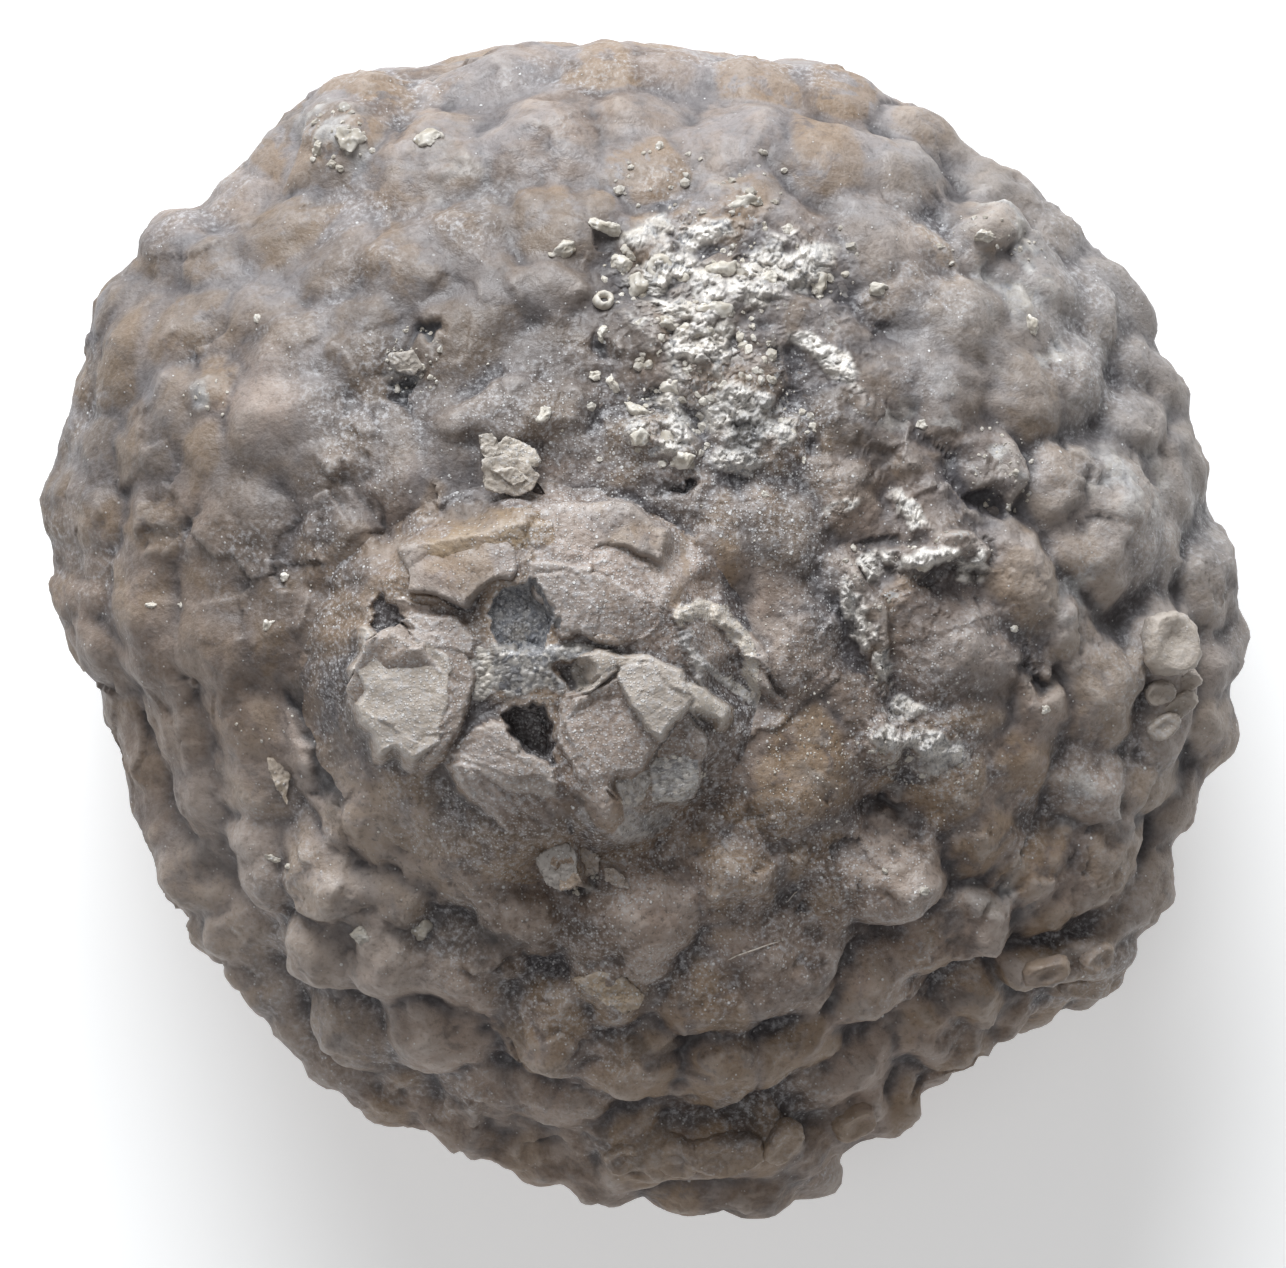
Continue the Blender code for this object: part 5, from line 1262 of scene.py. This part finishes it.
def ossicle(ground, x, y, radius, thick, lean, lean_to, looks, squash, degrees, lift, seed):
    """A round arm plate with a raised edge and a dished middle."""
    turn = np.arange(OSSICLE_SIDES) / OSSICLE_SIDES * math.tau
    power = OSSICLE_POWER
    square = (np.abs(np.cos(turn)) ** power + np.abs(np.sin(turn)) ** power) ** (-1 / power)
    rows = []
    for out, height in OSSICLE_PROFILE:
        wavy = (1.0 + 0.03 * out * np.cos(OSSICLE_RIBS * turn)) * (1 + (square - 1) * out)
        rows.append(np.stack([radius * max(out, 0.01) * wavy * np.cos(turn),
                              squash * radius * max(out, 0.01) * wavy * np.sin(turn),
                              np.full(OSSICLE_SIDES, thick * height)], axis=1))
    fine = []
    for a, b in zip(rows, rows[1:]):
        fine += [a + (b - a) * t for t in (0, 0.34, 0.67)]
    fine.append(rows[-1])
    points = wandering(wandering(np.concatenate(fine), 0.6, 0.09, seed), 0.2, 0.02, seed)
    points = turned(points, degrees, lean, lean_to)
    spot, normal = ground(x, y)
    faces = capped(len(fine), OSSICLE_SIDES)
    # The whole plate gets an even share of the painted edge highlight.
    return points + spot + normal * lift, faces, looks, np.full(len(points), 0.2)


def joined(name, rocks, material, flat=False):
    """One object from many rocks, whose looks become numbers at their points."""
    points, faces, start = [], [], 0
    numbers = {key: [] for key in LOOKS}
    for spots, corners, looks, edge in rocks:
        points.append(spots)
        faces += [[int(c) + start for c in face] for face in corners]
        start += len(spots)
        for key in LOOKS:
            value = edge if key == "edge" else looks.get(key, 0.0)
            numbers[key].append(np.broadcast_to(value, len(spots)))
    mesh = bpy.data.meshes.new(name)
    mesh.from_pydata((np.concatenate(points) * MM).tolist(), [], faces)
    for key in LOOKS:
        values = np.concatenate(numbers[key]).astype(np.float32)
        mesh.attributes.new(key, "FLOAT", "POINT").data.foreach_set("value", values)
    shape = bmesh.new()
    shape.from_mesh(mesh)
    bmesh.ops.recalc_face_normals(shape, faces=shape.faces)
    shape.to_mesh(mesh)
    shape.free()
    if not flat:
        mesh.shade_smooth()
    mesh.materials.append(material)
    piece = added(name, mesh)
    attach(piece, "root")


def ground_of(piece):
    """A function from a place in plan to the surface's point and normal there, in millimetres."""
    mesh = piece.data
    corners = np.empty(len(mesh.vertices) * 3)
    mesh.vertices.foreach_get("co", corners)
    faces = [tuple(f.vertices) for f in mesh.polygons]
    tree = BVHTree.FromPolygons((corners.reshape(-1, 3) / MM).tolist(), faces)

    def ground(x, y):
        spot, normal, _, _ = tree.ray_cast(Vector((x, y, 40.0)), Vector((0, 0, -1.0)))
        return None if spot is None else (np.array(spot), np.array(normal))

    return ground


def grit_rocks(ground):
    """The larger grains of the grit behind the stub and elsewhere."""
    luck = random.Random(SEED)
    rocks = []
    for x, y, size, stretch, degrees, flat, pale in GRAINS:
        looks = {"pale": pale, "tone": luck.uniform(-0.3, 0.3)}
        rocks.append(grain_at(ground, x, y, size, luck, looks, GRAIN_LEVEL, flat, GRAIN_SINK, stretch,
                              degrees))
    for x, y, radius, hole in RING_GRAINS:
        rocks.append(ring_grain(ground, x, y, radius, hole, {"pale": 0.75}, luck))
    return [rock for rock in rocks if rock]


def sand_rocks(ground):
    """Sand caught in the crusts, and a little all over: small angular grains scattered in ovals."""
    luck = random.Random(SEED + 2)
    rocks = []
    for (x0, y0, along, across, degrees), count, least, most, pale in SAND:
        a = math.radians(degrees)
        for _ in range(count):
            looks = {"pale": pale * luck.uniform(0.2, 1.2), "tone": luck.uniform(-1, 1)}
            r, t = math.sqrt(luck.random()), luck.uniform(0, math.tau)
            u, v = along * r * math.cos(t), across * r * math.sin(t)
            x, y = x0 + u * math.cos(a) - v * math.sin(a), y0 + u * math.sin(a) + v * math.cos(a)
            size = least * (most / least) ** (luck.random() ** 2)
            rocks.append(grain_at(ground, x, y, size, luck, looks, SAND_LEVEL, SAND_FLAT, SAND_SINK))
    return [rock for rock in rocks if rock]


def arm_rocks(ground):
    """The arm plates that show at the rim."""
    rocks = []
    for i, (x, y, radius, thick, lean, lean_to, squash, degrees, lift) in enumerate(OSSICLES):
        looks = {"pale": 0.35 if y > -5 else 0.1, "core": 0.5}  # those in front are darker
        seed = 5.3 * i
        rocks.append(ossicle(ground, x, y, radius, thick, lean, lean_to, looks, squash, degrees, lift, seed))
    return rocks


def thread_rocks(ground):
    """The dust fibres."""
    return [thread(ground, places, radius, lift, {"pale": pale}) for places, radius, lift, pale in THREADS]


class Nodes:
    """A material's nodes, made and joined in one call each."""

    def __init__(self, name):
        self.material = bpy.data.materials.new(name)
        self.material.use_nodes = True
        self.tree = self.material.node_tree
        self.surface = self.tree.nodes["Principled BSDF"]
        self.place = self.tree.nodes.new("ShaderNodeTexCoord").outputs["Object"]

    def set(self, socket, value):
        """Joins a socket to another one, or sets it to a number or colour."""
        if isinstance(value, bpy.types.NodeSocket):
            self.tree.links.new(value, socket)
        else:
            socket.default_value = value

    def noise(self, scale, detail, rough, twist=0.0):
        node = self.tree.nodes.new("ShaderNodeTexNoise")
        names = ("Vector", "Scale", "Detail", "Roughness", "Distortion")
        for name, value in zip(names, (self.place, scale, detail, rough, twist)):
            self.set(node.inputs[name], value)
        return node.outputs["Fac"]

    def specks(self, scale, size, share):
        """Dots at the middles of small cells: size is their radius in cells, share how many have one."""
        node = self.tree.nodes.new("ShaderNodeTexVoronoi")
        self.set(node.inputs["Vector"], self.place)
        node.inputs["Scale"].default_value = scale
        split = self.tree.nodes.new("ShaderNodeSeparateColor")
        self.tree.links.new(node.outputs["Color"], split.inputs[0])
        near = self.range(node.outputs["Distance"], size, size * 0.55)
        return self.product(near, self.math("LESS_THAN", split.outputs[0], share), split.outputs[1])

    def along(self, axis):
        """The place along X, Y or Z, in metres."""
        split = self.tree.nodes.new("ShaderNodeSeparateXYZ")
        self.tree.links.new(self.place, split.inputs[0])
        return split.outputs[axis]

    def far(self, spot):
        """How far the place is from a spot of the plan given in millimetres, in metres."""
        away = [self.math("SUBTRACT", self.along(axis), spot[axis] * MM) for axis in (0, 1)]
        return self.math("SQRT", self.math("ADD", *(self.product(side, side) for side in away)))

    def attribute(self, name):
        node = self.tree.nodes.new("ShaderNodeAttribute")
        node.attribute_name = name
        return node.outputs["Fac"]

    def range(self, value, low, high, to_low=0.0, to_high=1.0):
        """The value taken smoothly from one range to another. A name stands for a number of the points."""
        if isinstance(value, str):
            value = self.attribute(value)
        node = self.tree.nodes.new("ShaderNodeMapRange")
        node.interpolation_type = "SMOOTHSTEP"
        names = ("Value", "From Min", "From Max", "To Min", "To Max")
        for name, number in zip(names, (value, low, high, to_low, to_high)):
            self.set(node.inputs[name], number)
        return node.outputs["Result"]

    def math(self, operation, a, b=0.0):
        node = self.tree.nodes.new("ShaderNodeMath")
        node.operation = operation
        self.set(node.inputs[0], a)
        self.set(node.inputs[1], b)
        return node.outputs[0]

    def mix(self, share, first, second):
        node = self.tree.nodes.new("ShaderNodeMix")
        node.data_type = "RGBA"
        self.set(node.inputs[0], share)
        self.set(node.inputs[6], first)
        self.set(node.inputs[7], second)
        return node.outputs[2]

    def tint(self, colour, value, low, high, most, red, green, blue):
        """A colour taken towards another as the value goes from low to high, by this share at most."""
        return self.mix(self.range(value, low, high, 0, most), colour, rgb(red, green, blue))

    def product(self, first, *others):
        for other in others:
            first = self.math("MULTIPLY", first, other)
        return first

    def bump(self, height, distance, strength):
        node = self.tree.nodes.new("ShaderNodeBump")
        self.set(node.inputs["Height"], height)
        node.inputs["Distance"].default_value = distance
        node.inputs["Strength"].default_value = strength
        self.set(self.surface.inputs["Normal"], node.outputs["Normal"])


def rgb(red, green, blue):
    """A colour given as on a screen, made linear."""
    return tuple(((c / 255 + 0.055) / 1.055) ** 2.4 for c in (red, green, blue)) + (1.0,)


BUSY = (0.5, -1.5)  # the middle of the part that is dustiest and most speckled
PALER = [(-8.5, -7.0), (9.5, 10.0), (13.0, 1.5)]  # the middles of paler, dustier parts
BROWN = [(-4.4, 7.9), (-12.4, 0.3), (-9.0, 2.0)]  # the middles of browner parts


def stone():
    """Waxy grey-brown silica: ochre hearts of plates, painted blue-grey shade in creases, hollows and pits,
    painted highlights on edges and rises, crusts of salt and grit, dust.
    """
    n = Nodes("silicified_crinoid")
    broad = n.noise(150, 4, 0.6, 0.6)
    patches = n.noise(430, 5, 0.62, 0.8)
    small = n.noise(1100, 4, 0.62, 0.4)
    fine = n.noise(2600, 4, 0.65)
    grit = n.noise(7500, 3, 0.65)
    wander = n.product(n.math("SUBTRACT", broad, 0.5), 0.03)
    back = n.math("ADD", n.along(1), wander)
    busy = n.range(n.far(BUSY), 0.0125, 0.004)
    streaks = n.noise(260, 5, 0.6, 1.5)
    colour = n.mix(n.range(broad, 0.38, 0.6), rgb(150, 131, 118), rgb(120, 101, 86))
    colour = n.tint(colour, patches, 0.46, 0.66, 0.75, 92, 74, 60)
    colour = n.tint(colour, streaks, 0.5, 0.64, 0.5, 172, 155, 142)
    colour = n.tint(colour, streaks, 0.46, 0.34, 0.5, 88, 80, 80)
    colour = n.tint(colour, small, 0.44, 0.62, 0.45, 168, 154, 144)
    colour = n.tint(colour, small, 0.46, 0.3, 0.6, 76, 67, 62)
    heart = n.product(n.attribute("core"), n.range(small, 0.34, 0.56))
    colour = n.tint(colour, heart, 0.05, 0.6, 0.75, 134, 111, 86)
    band = n.product(n.range(back, -0.001, 0.005), n.range(back, 0.0125, 0.008, 0, 0.7))
    colour = n.mix(band, colour, n.mix(n.range(streaks, 0.4, 0.6), rgb(74, 70, 70), rgb(104, 89, 74)))
    veil = n.product(n.range(back, -0.006, 0.011), n.range(patches, 0.62, 0.4, 0.1, 0.65),
                     n.range(heart, 0.1, 0.6, 1.0, 0.35))
    colour = n.mix(veil, colour, rgb(130, 128, 131))
    colour = n.tint(colour, n.along(0), 0.009, 0.014, 0.25, 168, 165, 163)
    for spot in PALER:
        colour = n.tint(colour, n.far(spot), 0.006, 0.002, 0.3, 172, 165, 160)
    for spot in BROWN:
        colour = n.tint(colour, n.far(spot), 0.005, 0.0015, 0.4, 90, 76, 64)
    # Painted blue-grey shade in the creases between plates.
    crease = n.product(n.attribute("crease"), n.range(small, 0.3, 0.55))
    colour = n.mix(n.product(crease, 0.6), colour, rgb(60, 58, 63))
    chip = n.mix(n.range(patches, 0.4, 0.62), rgb(149, 137, 130), rgb(121, 103, 89))
    colour = n.mix(n.range("fresh", 0.2, 1.0, 0, 0.85), colour, chip)
    ochre = n.product(n.attribute("ochre"), n.range(small, 0.62, 0.42, 0.3, 1.0))
    colour = n.mix(ochre, colour, rgb(148, 124, 92))
    # Painted blue-grey shade in broad hollows, and painted light on broad rises.
    low = n.product(n.range("deep", 0.01, 0.28), n.range(streaks, 0.36, 0.56, 0.45, 0.85))
    colour = n.mix(low, colour, rgb(60, 59, 65))
    colour = n.tint(colour, "deep", -0.02, -0.3, 0.2, 168, 158, 151)
    # Painted shade in small hollows, and a painted highlight on small rises and edges.
    colour = n.tint(colour, "hollow", 0.006, 0.09, 0.45, 58, 53, 53)
    colour = n.tint(colour, "hollow", -0.01, -0.1, 0.27, 178, 169, 162)
    crust_colour = n.mix(n.range("tone", -0.7, 0.9), rgb(108, 110, 116), rgb(236, 230, 222))
    crust_colour = n.tint(crust_colour, fine, 0.4, 0.6, 0.5, 158, 156, 154)
    crust_colour = n.tint(crust_colour, small, 0.48, 0.38, 0.3, 150, 134, 108)
    colour = n.mix(n.range("crust", 0.1, 0.7, 0, 0.9), colour, crust_colour)
    colour = n.tint(colour, "pale", 0.0, 1.0, 0.9, 204, 194, 180)
    # A painted highlight along edges.
    colour = n.mix(n.product(n.attribute("edge"), 0.4), colour, rgb(204, 196, 188))
    # Painted blue-black shade in pits.
    colour = n.tint(colour, "dark", 0.1, 0.9, 0.85, 42, 42, 46)
    dusty = n.noise(300, 5, 0.65)
    for more, share in ((n.attribute("dust"), 0.2), (busy, 0.1), (n.attribute("fresh"), 0.06)):
        dusty = n.math("ADD", dusty, n.product(more, share))
    dust = n.range(dusty, 0.44, 0.72)
    powder = n.product(n.range(grit, 0.45, 0.7), n.range(dust, 0, 1, 0.08, 0.6))
    colour = n.mix(powder, colour, rgb(186, 185, 187))
    pores = n.product(n.range(grit, 0.47, 0.3), n.range("fresh", 0.2, 1.0, 0.55, 0.2),
                      n.range(busy, 0, 1, 0.5, 1.0))
    colour = n.mix(pores, colour, rgb(56, 49, 44))
    dotted = n.product(n.range(dust, 0, 1, 0.14, 1.0), n.range(busy, 0, 1, 0.12, 1.0),
                       n.range("dark", 0.1, 0.5, 1.0, 0.3))
    tiny = n.specks(13000, 0.45, n.product(dotted, 0.75))
    large = n.specks(5200, 0.28, n.product(dotted, 0.3))
    colour = n.mix(n.product(tiny, 0.75), colour, rgb(216, 214, 213))
    colour = n.mix(n.product(large, 0.8), colour, rgb(230, 230, 229))
    n.set(n.surface.inputs["Base Color"], colour)
    n.set(n.surface.inputs["Roughness"], n.range(fine, 0.3, 0.7, 0.4, 0.65))
    n.surface.inputs["IOR"].default_value = 1.5
    height = n.math("ADD", n.product(fine, 0.5), n.product(grit, 0.5))
    height = n.math("ADD", height, n.product(n.math("ADD", tiny, large), 0.35))
    n.bump(height, 0.00008, 0.8)
    return n.material


def grit_stone():
    """Cream and white grains with tan edges and grey dust, and a painted highlight along their edges."""
    n = Nodes("grit")
    fine = n.noise(3000, 4, 0.6)
    colour = n.mix(n.range("tone", -1, 1), rgb(112, 104, 96), rgb(160, 154, 146))
    colour = n.mix(n.range("pale", 0.1, 1.1), colour, rgb(214, 208, 198))
    colour = n.tint(colour, fine, 0.6, 0.4, 0.5, 142, 128, 104)
    # A painted highlight along the grains' edges.
    colour = n.mix(n.product(n.attribute("edge"), 0.35), colour, rgb(222, 218, 210))
    colour = n.mix(n.product(n.specks(9500, 0.42, 0.3), 0.8), colour, rgb(228, 228, 228))
    n.set(n.surface.inputs["Base Color"], colour)
    n.surface.inputs["Roughness"].default_value = 0.6
    n.bump(fine, 0.00006, 0.6)
    return n.material


def pale_floor():
    """A white floor that glows a little, so that it stays pale."""
    n = Nodes("floor")
    n.surface.inputs["Base Color"].default_value = (0.92, 0.92, 0.92, 1)
    n.surface.inputs["Roughness"].default_value = 0.9
    n.surface.inputs["Emission Color"].default_value = (1, 1, 1, 1)
    n.surface.inputs["Emission Strength"].default_value = 0.3
    return n.material


def floor():
    """The floor, just under the part."""
    mesh = bpy.data.meshes.new("floor")
    shape = bmesh.new()
    bmesh.ops.create_grid(shape, x_segments=1, y_segments=1, size=1.5)
    shape.to_mesh(mesh)
    shape.free()
    mesh.materials.append(pale_floor())
    piece = added("floor", mesh)
    piece.location.z = -0.00002


def lamp(name, place, size, power, colour):
    """A round soft lamp that faces the part."""
    light = bpy.data.lights.new(name, "AREA")
    light.shape = "DISK"
    light.size = size
    light.energy = power
    light.color = colour
    piece = added(name, light)
    piece.location = place
    piece.rotation_euler = (Vector((0, 0, 0.008)) - Vector(place)).to_track_quat("-Z", "Y").to_euler()


def studio():
    """The floor, a window at the back, a fill light and a pale sky."""
    floor()
    lamp("window", (-0.08, 0.46, 0.24), 0.4, 4.75, (0.935, 0.97, 1.0))
    lamp("fill", (-0.15, -0.25, 0.55), 0.5, 0.65, (0.97, 0.98, 1.0))
    world = bpy.data.worlds.new("studio")
    world.use_nodes = True
    sky = world.node_tree.nodes["Background"]
    sky.inputs["Color"].default_value = (1, 1, 1, 1)
    sky.inputs["Strength"].default_value = 0.22
    bpy.context.scene.world = world
    bpy.context.scene.view_settings.view_transform = "Standard"


def camera():
    """The camera straight above, with the photograph's frame at the rim's height."""
    lens = bpy.data.cameras.new("camera")
    lens.sensor_width = 36.0
    lens.lens = lens.sensor_width * CAMERA_HEIGHT / (FRAME_PX[0] * PX * MM)
    lens.clip_start, lens.clip_end = 0.01, 10
    piece = added("camera", lens)
    piece.location = (0, -0.125 * MM, RIM_HEIGHT * MM + CAMERA_HEIGHT)
    bpy.context.scene.camera = piece


def main():
    """The fossil, everything stuck to it, and the studio."""
    surface = calyx()
    looks = stone()
    surface.data.materials.append(looks)
    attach(surface, "root")
    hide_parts("calyx")
    ground = ground_of(surface)
    joined("broken_stub", [stub(ground)], looks)
    joined("cemented_grit", [crusty(ground, GRIT_PATCH, GRIT_CRUSTS)], looks)
    joined("filled_crack", [crusty(ground, CRACK_PATCH, CRACK_CRUSTS)], looks)
    joined("loose_chips", loose_chips(ground), looks)
    grit = grit_stone()
    joined("loose_grit", grit_rocks(ground), grit)
    joined("sand", sand_rocks(ground), grit, flat=True)
    joined("arm_plates", arm_rocks(ground), looks)
    joined("threads", thread_rocks(ground), looks)
    studio()
    camera()


main()
